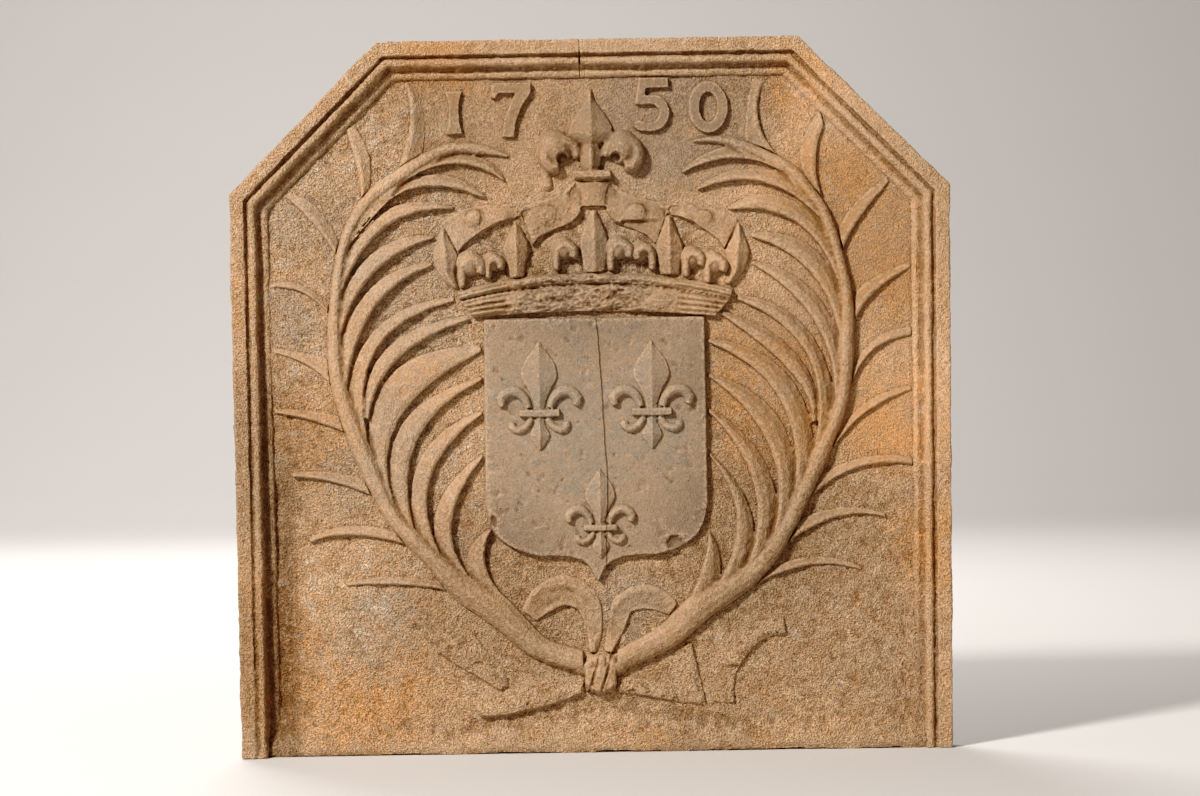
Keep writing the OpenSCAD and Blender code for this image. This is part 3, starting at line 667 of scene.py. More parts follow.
def rust_tone(r, g, colour, grain, light, bright, dim):
    """Flecks light and dark grains over the colour, darker in the bump's pits and lighter on its grains as
    painted shade and highlight, and makes whole zones lighter or darker.
    """
    fleck = 0.16 * min(grain, 1.0) + 0.10 * max(grain - 1.6, 0.0)
    fine_fleck = 1.9 * fleck
    # The flecks follow the bump's noise, so they paint shade into its pits and highlights onto its grains
    # along with the grain's own tone
    shade = r.span(g.speckle, 0.30, 0.70, 1 - fleck, 1 + fleck)
    shade = r.math("MULTIPLY", shade, r.span(g.grit, 0.30, 0.70, 1 - fine_fleck, 1 + fine_fleck))
    shade = r.mix(r.math("MULTIPLY", g.smooth, 0.3), r.grey(shade), (1, 1, 1))
    colour = r.mix(1.0, colour, shade, "MULTIPLY")
    # The darker zones paint the border's shadow at the lower left and shade near the head
    tone = r.span(zone(r, g.place, DARK_AND_SHADED_SPOTS), 0.0, 1.0, 1.0, 0.74)
    # On the border the bright zones are painted light; the ground's bright zones and the dim ones just
    # lighten or darken
    for spots, strength in ((bright, 1.16), (dim, 0.84)):
        if spots:
            tone = r.math("MULTIPLY", tone, r.span(zone(r, g.place, spots), 0.0, 1.0, 1.0, strength))
    return r.mix(1.0, colour, r.grey(r.math("MULTIPLY", tone, light)), "MULTIPLY")


def rust_depth(r, g, colour, fine, hollow, dirt, pits, crack):
    """Darkens the hollows, as dark rust and as painted shade, paints shade into the nooks at the foot of the
    carvings and the border's shadow into the cove at the lower left, and darkens the pinholes and the crack.
    """
    c = bpy.context.scene.hearth_rust
    # Hollows darken as dark rust and as painted shade; the nook reading paints shade at the foot of the forms
    deep = r.sway(g.speckle, 0.6, r.math("MULTIPLY_ADD", fine, 1.2, hollow))
    nook = r.sway(g.blisters, 1.0, r.reading("nook"))
    deep = r.span(deep, 0.15, 1.40, 0.0, 0.66 * dirt)
    deep = r.math("MAXIMUM", deep, r.span(nook, 0.45, 1.20, 0.0, 0.62 * dirt))
    # The highest nook readings are in the cove at the lower left, where this paints the border's shadow
    deep = r.math("MAXIMUM", deep, r.span(nook, 1.20, 2.10, 0.0, 0.78))
    deep = r.math("MAXIMUM", deep, r.math("MULTIPLY", g.pinholes, 0.40 * pits))
    if crack:
        deep = r.math("MAXIMUM", deep, r.math("MULTIPLY", crack, 0.70))
    return r.mix(deep, colour, tuple(c.dark))


def rust_edges(r, g, colour, fine, hollow):
    """Rubs the edges and ridges pale, as wear and as a painted highlight."""
    c = bpy.context.scene.hearth_rust
    # Edges and ridges are lightened: rubbed wear, and a painted highlight
    worn = r.math("MULTIPLY_ADD", fine, -1.8, r.math("MULTIPLY", hollow, -0.8))
    worn = r.math("MULTIPLY", r.span(worn, 0.10, 0.80), r.span(g.speckle, 0.35, 0.60))
    return r.mix(r.math("MULTIPLY", worn, 0.50), colour, tuple(c.pale))


def rust_relief(r, g, grain, pits, crack):
    """The grain that is too fine for the mesh, as a bump."""
    height = r.math("MULTIPLY", g.blisters, 0.35)
    fineness = r.math("MULTIPLY_ADD", g.speckle, 0.8 * grain, r.math("MULTIPLY", g.grit, 1.4 * grain))
    height = r.math("MULTIPLY_ADD", fineness, r.span(g.smooth, 0.0, 1.0, 1.0, 0.45), height)
    height = r.math("MULTIPLY_ADD", g.pinholes, -0.5 * pits, height)
    if crack:
        height = r.math("MULTIPLY_ADD", crack, -1.0, height)
    bump = r.add("ShaderNodeBump")
    bump.inputs["Strength"].default_value = 1.0
    bump.inputs["Distance"].default_value = 0.0016
    r.feed(bump.inputs["Height"], height)
    return bump.outputs[0]


def old_iron(
    name,
    orange=1.0, grey=1.0, dusty=0.5, dirt=1.0, light=1.0, grain=1.0, pits=1.0, least_grey=0.0,
    cracked=False, bright=(), dim=(),
):
    """Dry, pitted rust: tan, with orange and grey patches, dark in the hollows as dark rust and painted
    shade, and pale on the edges as wear and a painted highlight.
    """
    r = Recipe(name)
    g = Grain(r)
    crack = shield_crack(r, g.place) if cracked else None
    fine = r.reading("fine_hollow")
    hollow = r.reading("hollow")
    colour = rust_colour(r, g, orange, grey, dusty, least_grey)
    colour = rust_tone(r, g, colour, grain, light, bright, dim)
    colour = rust_depth(r, g, colour, fine, hollow, dirt, pits, crack)
    colour = rust_edges(r, g, colour, fine, hollow)
    shader = r.add("ShaderNodeBsdfPrincipled")
    r.feed(shader.inputs["Base Color"], colour)
    r.feed(shader.inputs["Roughness"], r.span(g.speckle, 0.3, 0.7, 0.80, 0.58))
    r.feed(shader.inputs["Normal"], rust_relief(r, g, grain, pits, crack))
    shader.inputs["Specular IOR Level"].default_value = 0.16
    return r.done(shader)


# Course of the crack down the shield: height and place across
CRACK = [(0.170, 0.0135), (0.190, 0.0120), (0.275, 0.0140), (0.310, 0.0120), (0.380, 0.0090), (0.440, 0.0045)]
CRACK_ROOM = 0.02  # the crack stays this near the plate's middle


def shield_crack(r, place):
    """1 along the fine crack down the middle of the shield."""
    apart = r.add("ShaderNodeSeparateXYZ")
    r.feed(apart.inputs[0], place)
    low, high = CRACK[0][0], CRACK[-1][0]
    course = r.add("ShaderNodeFloatCurve")
    trace(course.mapping.curves[0], [((z - low) / (high - low), x / CRACK_ROOM) for z, x in CRACK])
    course.mapping.update()
    up = r.add("ShaderNodeMapRange")
    for k, value in enumerate((apart.outputs[2], low, high, 0.0, 1.0)):
        r.feed(up.inputs[k], value)
    r.feed(course.inputs["Value"], up.outputs[0])
    wander = r.math("MULTIPLY", r.math("SUBTRACT", r.noise(place, 120.0, 4.0, 0.6), 0.5), 0.0022)
    across = r.math("MULTIPLY_ADD", course.outputs[0], CRACK_ROOM, wander)
    off = r.math("SUBTRACT", apart.outputs[0], across)
    return r.span(r.math("ABSOLUTE", off), 0.0009, 0.0003)


def iron(name, **values):
    """The finish of this name, made once."""
    return bpy.data.materials.get(name) or old_iron(name, **values)


def ground_iron():
    """Coarse, light rust, for the ground and the tails of the ribbon, made lighter as painted light where the
    key light falls on the flat ground at a slant.
    """
    return iron(
        "ground_rust",
        # light lifts the whole ground as painted light
        orange=1.0, grey=0.6, dusty=0.6, dirt=0.6, light=1.16, grain=1.9, pits=0.9, bright=BRIGHT_GROUND,
        dim=DIM_HEAD,
    )


def border_iron():
    """Warm rust with little grey, for the border, made lighter as painted light, and more so where the key
    light reaches it less.
    """
    return iron(
        "border_rust",
        # light and the bright zones lift the border as painted light
        orange=1.0, grey=0.35, dusty=0.4, dirt=0.8, light=1.14, grain=1.6, pits=1.0,
        bright=BRIGHT_BORDER,
    )


def carved_iron():
    """Darker, finer rust, dark in its hollows as rust and as painted shade, for the carvings."""
    return iron(
        "carved_rust",
        orange=1.15, grey=0.6, dusty=0.35, dirt=1.0, light=0.93, grain=0.65, pits=0.7, dim=DIM_HEAD,
    )


def shield_iron():
    """Smooth grey iron, for the shield and its lilies."""
    return iron(
        "shield_rust",
        orange=0.3, grey=1.1, dusty=0.25, dirt=0.9, light=0.84, grain=0.6, pits=0.6, least_grey=0.55,
        cracked=True,
    )


# ---------------------------------------------------------------- plate and border


def border_halves():
    """Each half of the border with the part of the head that it takes, parted at the old crack."""
    crack, overlap = -0.008, 0.0005
    left = ["left_border", "upper_left_border", "top_border"]
    right = ["right_border", "upper_right_border", "top_border"]
    return ("border_left", left, crack + overlap, 1), ("border_right", right, crack - overlap, -1)


def settle_border(ob):
    """Draws the rim back by what wear will add, eats away the cove at the lower left, and fills the
    groove where it is choked with rust: low on the left side and on the upper right slope."""
    co = points(ob)
    x, z = co[:, 0], co[:, 2]
    on_rim = co[:, 1] < RIM_FACE + 0.0005
    co[:, 1] = np.where(on_rim, RIM_FACE + 0.0008, co[:, 1])
    from_left = x + FOOT_HALF + SIDE_LEAN * z
    from_slope = (TOP_HALF - x) * 0.7095 + (TOP - z) * 0.7047

    cove = ramp(from_left, 0.0255, 0.0275) * ramp(z, 0.42, 0.25)
    front = co[:, 1] < GROUND + 0.001
    eaten = np.minimum(co[:, 1] + 0.0075 * cove, GROUND + 0.006)
    co[:, 1] = np.where(front, eaten, co[:, 1])

    low_left = ramp(z, 0.36, 0.22)
    mid_slope = ramp(np.abs(x - 0.262), 0.034, 0.022)
    for inward, here in ((from_left, low_left), (from_slope, mid_slope)):
        groove = ramp(inward, 0.0125, 0.0145) * ramp(inward, 0.0215, 0.0195) * here
        filled = RIM_FACE + 0.0035 + 0.002 * bumps(co, 0.02)
        co[:, 1] = np.where(front & (groove > 0.5), np.minimum(co[:, 1], filled), co[:, 1])
    put_points(ob, co)


class HEARTH_OT_border(bpy.types.Operator):
    """Casts the moulded border in two halves that meet at the crack in its head"""

    bl_idname = "hearth.border"
    bl_label = "Border"

    def execute(self, context):
        s = context.scene.hearth_casting
        for name, nodes, crack, side in border_halves():
            ob = pattern_copy(name, nodes)
            cut(ob, (crack, 0, 0), (side, 0, 0), fill=True)
            sink(ob, GROUND, BORDER_ROOT)
            settle_border(ob)
            remesh(ob, s.border_step)
            soften(ob, 2)
            push(ob, swells(), 0.0024, 0.60)
            push(ob, lumps(), 0.0019, 0.55)
            push(ob, rust_pits(), s.pits, 0.6)
            keep_in_box(ob)
            read_hollows(ob)
            # The nook reading paints shade on the border's lowest few millimetres
            height = (GROUND - points(ob)[:, 1]) * MM
            stamp(ob, "nook", np.clip(0.8 - height / BORDER_NOOK, 0, 1))
            finish(ob, border_iron(), *nodes)
        return {"FINISHED"}


class HEARTH_OT_plate_body(bpy.types.Operator):
    """Casts the plate's back and edges"""

    bl_idname = "hearth.plate_body"
    bl_label = "Plate body"

    def execute(self, context):
        s = context.scene.hearth_casting
        ob = pattern_copy("plate_body", ["back_plate"])
        co = points(ob)
        co[co[:, 1] < GROUND + 0.001, 1] = FIELD_BACK
        put_points(ob, co)
        remesh(ob, s.plate_step)
        soften(ob, 2)
        push(ob, swells(), 0.0022, 0.85)
        push(ob, lumps(), 0.0016, 0.7)
        keep_in_box(ob)
        read_hollows(ob)
        stamp(ob, "nook", np.zeros(len(ob.data.vertices)))
        finish(ob, ground_iron(), "back_plate")
        return {"FINISHED"}


# These cast no shade on the ground: the plate itself, the flat tails, and what lies on the shield
NO_NOOK = ("back_plate", "bottom_lip", "left_tail", "right_tail", "left_lily", "right_lily", "lower_lily")


def carving_tree():
    """The carvings' solids, to find how near a point of the ground is to them."""
    verts, faces = [], []
    for node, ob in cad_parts.items():
        if node in NO_NOOK:
            continue
        base = len(verts)
        verts += [v.co[:] for v in ob.data.vertices]
        faces += [[base + i for i in p.vertices] for p in ob.data.polygons]
    return BVHTree.FromPolygons(verts, faces)


def calm_ground(co):
    """1 where the ground is smooth, as round the crown and the numerals, and 0 where it is rough."""
    calm = np.zeros(len(co))
    for (x, z), radius in SMOOTH_SPOTS:
        calm = np.maximum(calm, ramp(np.hypot(co[:, 0] - x, co[:, 2] - z), radius, radius * 0.25))
    return calm


def past_field(co):
    """How far each point lies outside the field between the side borders, below 0 inside it."""
    return np.abs(co[:, 0]) - (FIELD_HALF + FIELD_SPREAD * co[:, 2] / SHOULDER)


def ground_depth(co):
    """How far the ground lies back from the level of the solids' field, in metres."""
    x, z = co[:, 0], co[:, 2]
    drift = bumps(co, 0.14, octaves=2)

    # Deeper places: beside each palm, between the crown's band and its arches, and a trough over the foot
    side = past_field(co)
    over_foot = ramp(z, 0.012, 0.05)
    left = ramp(side, -0.052, -0.012) * ramp(x, 0.0, -0.1) * ramp(z, 0.42, 0.24) * over_foot
    right = ramp(side, -0.045, -0.004) * ramp(x, 0.0, 0.1) * ramp(z, 0.32, 0.12) * over_foot
    crown = ramp(np.abs(x - MIDDLE), 0.125, 0.095) * ramp(z, 0.472, 0.480) * ramp(z, 0.545, 0.528)
    from_middle = np.abs(x - 0.01)
    course = 0.048 + 0.010 * drift - 0.035 * np.minimum(from_middle / 0.16, 1.0) ** 2
    trough = ramp(np.abs(z - course), 0.016, 0.002) * ramp(from_middle, 0.30, 0.12)

    # The raised foot edge, which fades into the ground and is worn round below
    lip_face, lip_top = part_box("bottom_lip")[0].y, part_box("bottom_lip")[1].z
    rise = ramp(z, lip_top + 0.006 + 0.012 * drift, 0.006)
    lip = (GROUND - lip_face) * rise - 0.0022 * ramp(z, 0.005, 0.0)

    swell = bumps(co, 0.09, octaves=2) * 0.0018 + bumps(co, 0.030, octaves=3) * 0.0012
    heaps = bumps(co, 0.0085, octaves=4) * 0.0008
    hollows = 0.0055 * left + 0.0022 * right + (0.0018 + heaps * 1.5) * crown + 0.0026 * trough
    return hollows - lip + (swell * ramp(z, 0.0, 0.02) + heaps) * (1 - 0.6 * calm_ground(co))


def foot_edge(co):
    """How far the lower edge of the foot has been eaten away upwards at each point."""
    lifted = np.clip(0.0012 + 0.0016 * bumps(co * (1, 0, 0), 0.055, octaves=4), 0, 0.0032)
    return lifted * ramp(co[:, 2], 0.016, 0.0) * ramp(np.abs(co[:, 0]), 0.315, 0.295)


def ground_nook(co):
    """1 close to a carving, as painted shade, and more in the cove at the lower left, as the painted shadow
    of the border, for the material to darken.
    """
    reach, shade = 0.02, 0.007
    tree = carving_tree()
    found = [tree.find_nearest(Vector(p), reach)[3] for p in co]
    far = np.array([reach if d is None else d for d in found])
    # The cove's share is the painted shadow that the border casts over the ground at the lower left
    cove = ramp(past_field(co), -0.026, -0.010) * ramp(co[:, 0], 0.0, -0.1) * ramp(co[:, 2], 0.36, 0.20)
    return np.maximum(np.clip(1 - far / shade, 0, 1) * 0.95, 1.8 * cove)


def trim_ground(ob):
    """Cuts the two upper corners off the ground, along the sloping borders."""
    low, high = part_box("upper_right_border")
    slope = Vector((high.z - low.z, 0, high.x - low.x)).normalized()
    edge = Vector((high.x, 0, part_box("right_border")[1].z)) - slope * 0.028
    for side in (1, -1):
        cut(ob, (edge.x * side, 0, edge.z), (slope.x * side, 0, slope.z))


def close_ground(ob):
    """Gives the ground sides and a back, so that it is a closed mesh inside the plate body."""
    only(ob)
    bpy.ops.object.mode_set(mode="EDIT")
    bpy.ops.mesh.select_mode(type="EDGE")
    bpy.ops.mesh.select_all(action="DESELECT")
    bpy.ops.mesh.select_non_manifold()
    bpy.ops.mesh.extrude_edges_move(TRANSFORM_OT_translate={"value": (0, 0.004, 0)})
    bpy.ops.transform.resize(value=(1, 0, 1), center_override=(0, FIELD_BACK + 0.001, 0))
    bpy.ops.mesh.edge_face_add()
    bpy.ops.object.mode_set(mode="OBJECT")


class HEARTH_OT_ground(bpy.types.Operator):
    """Lays the rough ground between the carvings"""

    bl_idname = "hearth.ground"
    bl_label = "Ground"

    def execute(self, context):
        s = context.scene.hearth_casting
        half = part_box("bottom_lip")[1].x + 0.012  # it reaches in under the borders
        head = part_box("top_border")[0].z + 0.008
        bpy.ops.object.select_all(action="DESELECT")
        bpy.ops.mesh.primitive_grid_add(
            x_subdivisions=round(2 * half / s.ground_step),
            y_subdivisions=round(head / s.ground_step),
            size=1.0,
            location=(0, GROUND, head / 2),
            rotation=(math.pi / 2, 0, 0),
        )
        ob = context.view_layer.objects.active
        ob.name = ob.data.name = "plate_ground"
        ob.scale = (2 * half, head, 1)
        bpy.ops.object.transform_apply(location=True, rotation=True, scale=True)
        trim_ground(ob)
        co = points(ob)
        co[:, 1] += ground_depth(co)
        co[:, 2] += foot_edge(co)
        put_points(ob, co)
        weigh(ob, "rough", 1 - 0.7 * calm_ground(co))
        push(ob, ground_grit(), 0.0014, group="rough", direction="Y")
        read_hollows(ob)
        # The nook reading paints shade near the carvings and the border's shadow in the cove
        stamp(ob, "nook", ground_nook(points(ob)))
        close_ground(ob)
        keep_in_box(ob)
        finish(ob, ground_iron(), "back_plate", "bottom_lip")
        only(ob)
        bpy.ops.object.shade_smooth_by_angle(angle=math.radians(60))
        return {"FINISHED"}


# ---------------------------------------------------------------- carvings


class HEARTH_OT_numerals(bpy.types.Operator):
    """Casts the four plain numerals"""

    bl_idname = "hearth.numerals"
    bl_label = "Numerals"

    def execute(self, context):
        for k in range(1, 5):
            cast(f"numeral_{k}_cast", [f"numeral_{k}"], carved_iron(), step=0.001, rough=0.7, soft=7)
        return {"FINISHED"}


class HEARTH_OT_palms(bpy.types.Operator):
    """Casts each palm branch in one with its leaves, and the thin leaves on its outer side"""

    bl_idname = "hearth.palms"
    bl_label = "Palm branches"

    def execute(self, context):
        for side in ("left", "right"):
            branch = [f"{side}_stem"] + [f"{side}_leaf_{k}" for k in LEAVES]
            cast(f"palm_{side}", branch, carved_iron(), step=0.00123, fillet=0.5)
            cast(f"outer_leaves_{side}", [f"{side}_outer_leaves"], carved_iron(), fillet=0.6)
        return {"FINISHED"}


def away(co, x, z, flat=1.0):
    """How far each point is from this place of the plate, seen from the front; flat squeezes the height."""
    return np.hypot(co[:, 0] - x, (co[:, 2] - z) * flat)


def shield_wear(co, height):
    """Dents in the shield's face, the chip in its lower right edge and the nick in its left one."""
    crumbs = bumps(co, 0.006, octaves=3)
    chip = ramp(np.hypot((co[:, 0] - 0.080) * 0.8, co[:, 2] - 0.209) + 0.002 * crumbs, 0.0085, 0.0050)
    nick = ramp(away(co, -0.100, 0.232, 0.6) + 0.001 * crumbs, 0.0045, 0.0025)
    dents = ramp(bumps(co, 0.014, octaves=2), 0.34, 0.62)
    return 0.0032 * chip + 0.0022 * nick + 0.0007 * dents


class HEARTH_OT_shield(bpy.types.Operator):
    """Casts the shield and its three lilies"""

    bl_idname = "hearth.shield"
    bl_label = "Shield"

    def execute(self, context):
        cast(
            "shield_cast", ["shield"], shield_iron(),
            step=0.0015, rough=0.7, fillet=1.2, soft=4, shape=shield_wear,
        )
        for side in ("left", "right", "lower"):
            cast(
                f"{side}_lily_cast", [f"{side}_lily"], shield_iron(),
                ground=SHIELD_FACE, step=0.00085, rough=0.45, fillet=0.5, soft=2,
            )
        return {"FINISHED"}


def band_wear(co, height):
    """The crown's band: fine ridges at its ends, and badly eaten away in the middle."""
    x, z = co[:, 0] - MIDDLE, co[:, 2]
    foot, head = 0.441 - 0.40 * x**2, 0.467 - 0.88 * x**2
    level = (z - foot) / (head - foot)
    first_ridge, ridge_width = 0.24, 0.26
    ridges = 0.5 - 0.5 * np.cos((level - first_ridge) / ridge_width * 2 * math.pi)
    at_ends = ramp(np.abs(x), 0.078, 0.090)
    eaten = ramp(np.abs(x + 0.012), 0.088, 0.035)
    crumbs = bumps(co, 0.017, (1.5, 1, 0.75), 4)
    return 0.0021 * (ridges * at_ends) + eaten * (0.0020 + 0.0034 * crumbs) + 0.0007 * crumbs


def arch_wear(co, height):
    """The crown's arches: ends and pearls worn low, flanks eaten beside the cap, one tip cut off."""
    x, z = co[:, 0], co[:, 2]
    from_end = np.minimum(np.abs(x + 0.072), np.abs(x - 0.080))
    from_cap = np.abs(x - MIDDLE)
    flank = ramp(from_cap, 0.004, 0.018) * ramp(z, 0.540, 0.556) * ramp(from_cap, 0.030, 0.022)
    cut_tip = ramp(z, 0.533, 0.529) * ramp(np.abs(x - 0.060), 0.030, 0.026)
    first_pearl = ramp(away(co, -0.119, 0.535), 0.012, 0.009)
    pearls = np.maximum(height - 0.0055, 0) * (0.72 - 0.40 * first_pearl)
    crumbs = (0.5 + 0.5 * bumps(co, 0.012, octaves=4)) * ramp(np.abs(x + 0.045), 0.036, 0.020)
    eaten = 0.0045 * ramp(from_end, 0.014, 0.002) + 0.0035 * flank + pearls + 0.0028 * crumbs
    return np.maximum(eaten, height * 0.97 * cut_tip)


# The crown's hooded curls: place across and up in millimetres, and size
CURLS = [
    (-121.5, 486, 0.9), (-99, 489, 0.6), (-28, 500, 0.8), (27, 500, 0.85), (49.5, 497, 0.7),
    (100, 490, 0.72), (122, 484, 0.75),
]


def curl_knobs():
    """Fills the upper part of each of the crown's hooded curls."""
    return [(x / MM, (z + 5 * size) / MM, 0.0126 * size) for x, z, size in CURLS]


# The curls of the lily on the crown, and the run of iron below the left one: across, up and radius
LILY_CURLS = [(-0.0335, 0.6045, 0.0158), (0.0335, 0.6045, 0.0158)]
DRIP = [
    (-0.0435, 0.5810, 0.0036), (-0.0430, 0.5765, 0.0032), (-0.0420, 0.5720, 0.0032),
    (-0.0415, 0.5675, 0.0036),
]


def finial_wear(co, height):
    """The foot of the lily on the crown, worn into the arches, and the mouths of its curls."""
    z = co[:, 2]
    from_middle = np.abs(co[:, 0] - MIDDLE)
    foot = ramp(z, 0.5745, 0.5715) * ramp(from_middle, 0.034, 0.030)
    side = ramp(from_middle, 0.004, 0.016)
    mouth = ramp(np.minimum(away(co, -0.0265, 0.5935), away(co, 0.0265, 0.5935)), 0.0062, 0.0036)
    return height * np.maximum(foot * (0.35 + 0.55 * side), 0.8 * mouth)


class HEARTH_OT_crown(bpy.types.Operator):
    """Casts the crown and the lily on top of it"""

    bl_idname = "hearth.crown"
    bl_label = "Crown"

    def execute(self, context):
        cast(
            "crown_band_cast", ["crown_band", "crown_roll", "crown_jewels"], carved_iron(),
            step=0.001, shape=band_wear,
        )
        cast(
            "crown_petals_cast", ["crown_petals"], carved_iron(),
            step=0.0009, rough=0.9, soft=9, swell=0.0008,
        )
        cast(
            "crown_curls_cast", ["crown_curls"], carved_iron(),
            step=0.0008, rough=0.8, fillet=0.5, swell=0.0021, close=0.0012, knobs=curl_knobs(),
        )
        cast(
            "crown_arches_cast", ["left_arch", "right_arch", "crown_cap"], carved_iron(),
            step=0.001, soft=8, fillet=1.3, close=0.0013, shape=arch_wear,
        )
        cast(
            "finial_lily_cast", ["finial_lily"], carved_iron(),
            step=0.0009, rough=0.8, soft=6, swell=0.0014, close=0.0018, shape=finial_wear,
            knobs=LILY_CURLS + DRIP,
        )
        return {"FINISHED"}


def tail_wear(co, height):
    """The gap below the outer fold of the right tail, and the tails' worn faces."""
    x, z = co[:, 0], co[:, 2]
    fold = 0.100 + 0.27 * (0.100 - z)
    lump = ramp(away(co, 0.139, 0.054, 0.8), 0.0095, 0.0075)
    gap = ramp(x - fold, 0.0, 0.002) * ramp(z, 0.087, 0.083) * (1 - lump)
    crumbs = ramp(bumps(co, 0.012, octaves=4), 0.1, 0.7)
    return np.maximum(height * 0.95 * gap, 0.0018 * crumbs)


# These round the knot's block into a lump and carry its flanks to the stems: across, up and radius
KNOT_KNOBS = [
    (0.004, 0.079, 0.0155), (0.003, 0.070, 0.0125), (0.005, 0.089, 0.0120), (-0.0140, 0.0885, 0.0112),
    (0.0220, 0.0885, 0.0112),
]
KNOT_HEIGHT = 0.079  # height of the knot's middle


def knot_wear(co, height):
    """The knot's rounded corners, and two slanting grooves between its three strands."""
    across, up = co[:, 0] - MIDDLE, co[:, 2] - KNOT_HEIGHT
    corner = ramp(np.hypot(across / 0.0190, up / 0.0195), 0.80, 1.15) * ramp(np.abs(up), 0.008, 0.014)
    slant = across - 0.30 * up
    grooves = ramp(np.minimum(np.abs(slant + 0.0060), np.abs(slant - 0.0062)), 0.0024, 0.0004)
    return np.minimum(0.65 * height * corner + 0.0021 * grooves * ramp(height, 0.004, 0.009), height * 0.9)


def loop_wear(co, height):
    """The hollow along the middle of each loop."""
    out = np.minimum(away(co, -0.034, 0.128), away(co, 0.050, 0.122) + 0.001)
    hollow = ramp(out, 0.042, 0.034) * ramp(out, 0.019, 0.027) * ramp(co[:, 2], 0.108, 0.122)
    return height * 0.76 * hollow


class HEARTH_OT_ribbon(bpy.types.Operator):
    """Casts the ribbon that ties the branches"""

    bl_idname = "hearth.ribbon"
    bl_label = "Ribbon"

    def execute(self, context):
        cast(
            "knot_cast", ["knot"], carved_iron(),
            step=0.0009, soft=7, rough=1.4, shape=knot_wear, knobs=KNOT_KNOBS,
        )
        cast(
            "ribbon_loops", ["left_loop", "right_loop"], carved_iron(),
            soft=4, rough=1.2, shape=loop_wear,
        )
        cast(
            "ribbon_tails", ["left_tail", "right_tail"], ground_iron(),
            rough=1.5, soft=5, fillet=1.6, shape=tail_wear,
        )
        return {"FINISHED"}


# ---------------------------------------------------------------- stage


FLOOR_RUN = 9.0  # length of the paper that lies flat
BEND_RUN = 3.0  # length of its bend from the floor up to the wall
WALL_RUN = 4.0  # length that hangs straight
PAPER_WIDTH = 24.0
PAPER_FRONT = -4.0  # where the paper begins, in front of the plate
VIEW_WIDTH = 1.2  # what the picture spans at the plate
SENSOR = 36.0  # the camera's width in millimetres, like its lens
SUBJECT = (0, 0, 0.36)  # the plate's middle, at which the lights aim


def plain_material(name, colour, rough):
    """An even colour without a pattern."""
    r = Recipe(name)
    shader = r.add("ShaderNodeBsdfPrincipled")
    shader.inputs["Base Color"].default_value = (*colour, 1)
    shader.inputs["Roughness"].default_value = rough
    return r.done(shader)


def paper_sweep():
    """A pale sheet of paper that lies on the floor, bends up behind the plate and hangs straight."""
    bpy.ops.object.select_all(action="DESELECT")
    bpy.ops.mesh.primitive_grid_add(x_subdivisions=2, y_subdivisions=40, size=1)
    sweep = bpy.context.view_layer.objects.active
    sweep.name = sweep.data.name = "studio_sweep"
    co = points(sweep)
    run = (co[:, 1] + 0.5) * (FLOOR_RUN + BEND_RUN + WALL_RUN)
    turn = np.clip((run - FLOOR_RUN) / BEND_RUN, 0, 1) * math.pi / 2
    radius = BEND_RUN / (math.pi / 2)
    back = PAPER_FRONT + np.minimum(run, FLOOR_RUN) + radius * np.sin(turn)
    up = radius * (1 - np.cos(turn)) + np.maximum(run - FLOOR_RUN - BEND_RUN, 0)
    put_points(sweep, np.stack([co[:, 0] * PAPER_WIDTH, back, up], 1))
    bpy.ops.object.shade_smooth()
    sweep.data.materials.append(plain_material("studio_paper", (0.60, 0.583, 0.571), 0.8))


def soft_light(name, place, aim, size, power, colour):
    """A round, soft light that shines from a place towards its aim."""
    light = bpy.data.lights.new(name, "AREA")
    light.shape = "DISK"
    light.size = size
    light.energy = power
    light.color = colour
    ob = bpy.data.objects.new(name, light)
    ob.location = place
    ob.rotation_euler = (Vector(aim) - Vector(place)).to_track_quat("-Z", "Y").to_euler()
    bpy.context.scene.collection.objects.link(ob)


def surrounding_light(strength):
    """A little warm light from all round."""
    world = bpy.data.worlds.new("studio_light")
    world.use_nodes = True
    background = next(n for n in world.node_tree.nodes if n.type == "BACKGROUND")
    background.inputs[0].default_value = (1.0, 0.88, 0.74, 1)
    background.inputs[1].default_value = strength
    bpy.context.scene.world = world


# How the picture's tones are printed, its shadows darker: light in the scene, and light in the picture
TONES = [
    (0.0, 0.0), (0.018, 0.005), (0.045, 0.022), (0.072, 0.050), (0.102, 0.086), (0.190, 0.184),
    (0.260, 0.260), (0.340, 0.340), (0.450, 0.450), (0.600, 0.600), (0.800, 0.800), (1.0, 1.0),
]


def deepen_shadows(view):
    """Plain colours, with darker shadows."""
    view.view_transform = "Standard"
    view.use_curve_mapping = True
    view.curve_mapping.use_clip = False
    trace(view.curve_mapping.curves[3], TONES)
    view.curve_mapping.update()


def camera_in_front(focal):
    """The camera before the plate, as far back as its lens asks for."""
    lens = bpy.data.cameras.new("camera")
    lens.lens = focal
    lens.sensor_width = SENSOR
    camera = bpy.data.objects.new("camera", lens)
    camera.location = (0.0075, GROUND - VIEW_WIDTH * focal / SENSOR, 0.354)
    camera.rotation_euler = (math.pi / 2, math.radians(0.885), 0)
    bpy.context.scene.collection.objects.link(camera)
    bpy.context.scene.camera = camera


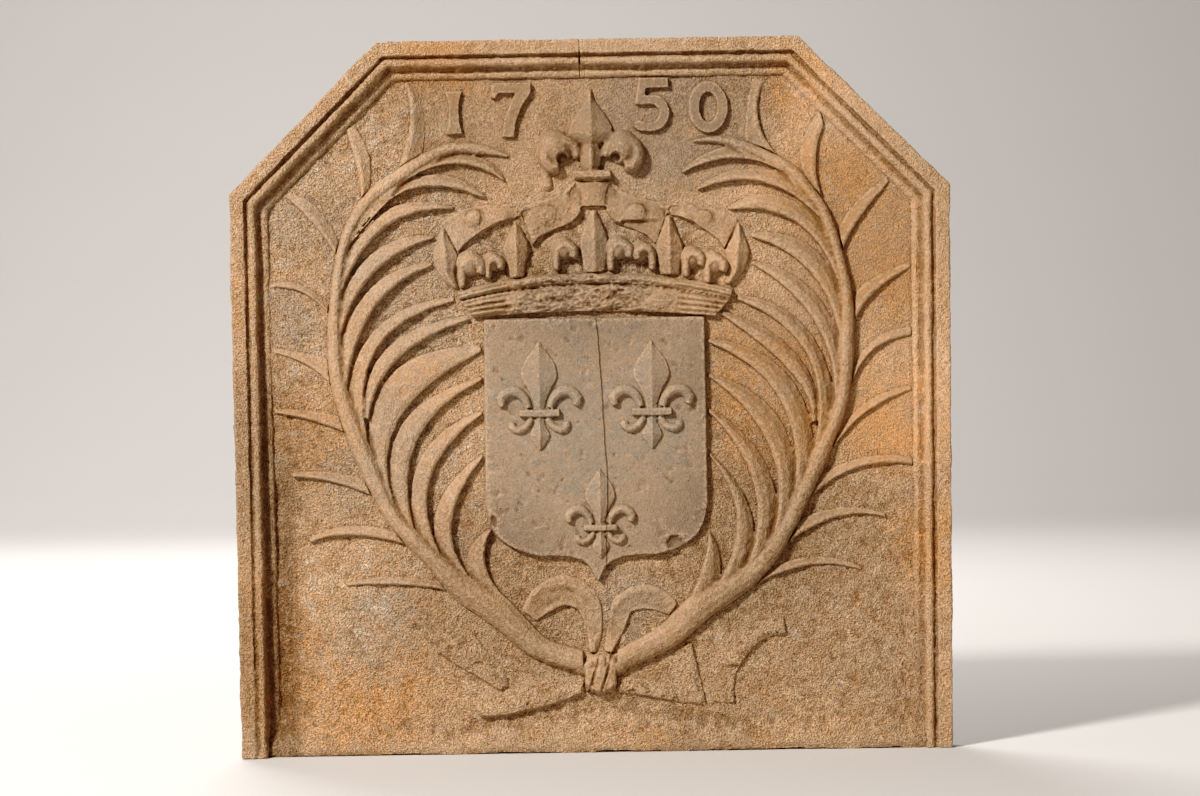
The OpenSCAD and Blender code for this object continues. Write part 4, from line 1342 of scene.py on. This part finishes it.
class HEARTH_OT_studio(bpy.types.Operator):
    """Sets up the pale sweep, the lights and the camera"""

    bl_idname = "hearth.studio"
    bl_label = "Studio"

    def execute(self, context):
        s = context.scene.hearth_studio
        paper_sweep()
        soft_light("key", (-2.35, -3.0, 2.85), SUBJECT, 0.66, s.key_power, (1.0, 0.97, 0.93))
        soft_light("fill", (1.6, -2.6, 0.9), SUBJECT, 1.6, s.fill_power, (1.0, 0.92, 0.82))
        wall_foot = (-0.8, 3.1, 0.0)
        pale = (1.0, 0.975, 0.955)
        soft_light("floor_and_backdrop", (-1.05, 2.7, 3.2), wall_foot, 2.4, s.backdrop_power, pale)
        surrounding_light(s.sky)
        deepen_shadows(context.scene.view_settings)
        camera_in_front(s.lens)
        return {"FINISHED"}


# ---------------------------------------------------------------- panel


STEPS = (
    HEARTH_OT_border,
    HEARTH_OT_plate_body,
    HEARTH_OT_ground,
    HEARTH_OT_numerals,
    HEARTH_OT_palms,
    HEARTH_OT_shield,
    HEARTH_OT_crown,
    HEARTH_OT_ribbon,
    HEARTH_OT_studio,
)


class HEARTH_PT_panel(bpy.types.Panel):
    """Lists the plate's pieces and their settings"""

    bl_label = "Hearth plate"
    bl_idname = "HEARTH_PT_panel"
    bl_space_type = "VIEW_3D"
    bl_region_type = "UI"
    bl_category = "Hearth plate"

    def draw(self, context):
        scene = context.scene
        for group in (scene.hearth_casting, scene.hearth_rust, scene.hearth_studio):
            box = self.layout.box()
            for key in group.__annotations__:
                box.prop(group, key)
        for step in STEPS:
            self.layout.operator(step.bl_idname)


CLASSES = (CastingSettings, RustColours, StudioSettings, *STEPS, HEARTH_PT_panel)


def register():
    for cls in CLASSES:
        bpy.utils.register_class(cls)
    bpy.types.Scene.hearth_casting = PointerProperty(type=CastingSettings)
    bpy.types.Scene.hearth_rust = PointerProperty(type=RustColours)
    bpy.types.Scene.hearth_studio = PointerProperty(type=StudioSettings)


def unregister():
    del bpy.types.Scene.hearth_casting
    del bpy.types.Scene.hearth_rust
    del bpy.types.Scene.hearth_studio
    for cls in reversed(CLASSES):
        bpy.utils.unregister_class(cls)


def main():
    register()
    bpy.ops.hearth.border()
    bpy.ops.hearth.plate_body()
    bpy.ops.hearth.ground()
    bpy.ops.hearth.numerals()
    bpy.ops.hearth.palms()
    bpy.ops.hearth.shield()
    bpy.ops.hearth.crown()
    bpy.ops.hearth.ribbon()
    bpy.ops.hearth.studio()


if __name__ == "__main__":
    main()
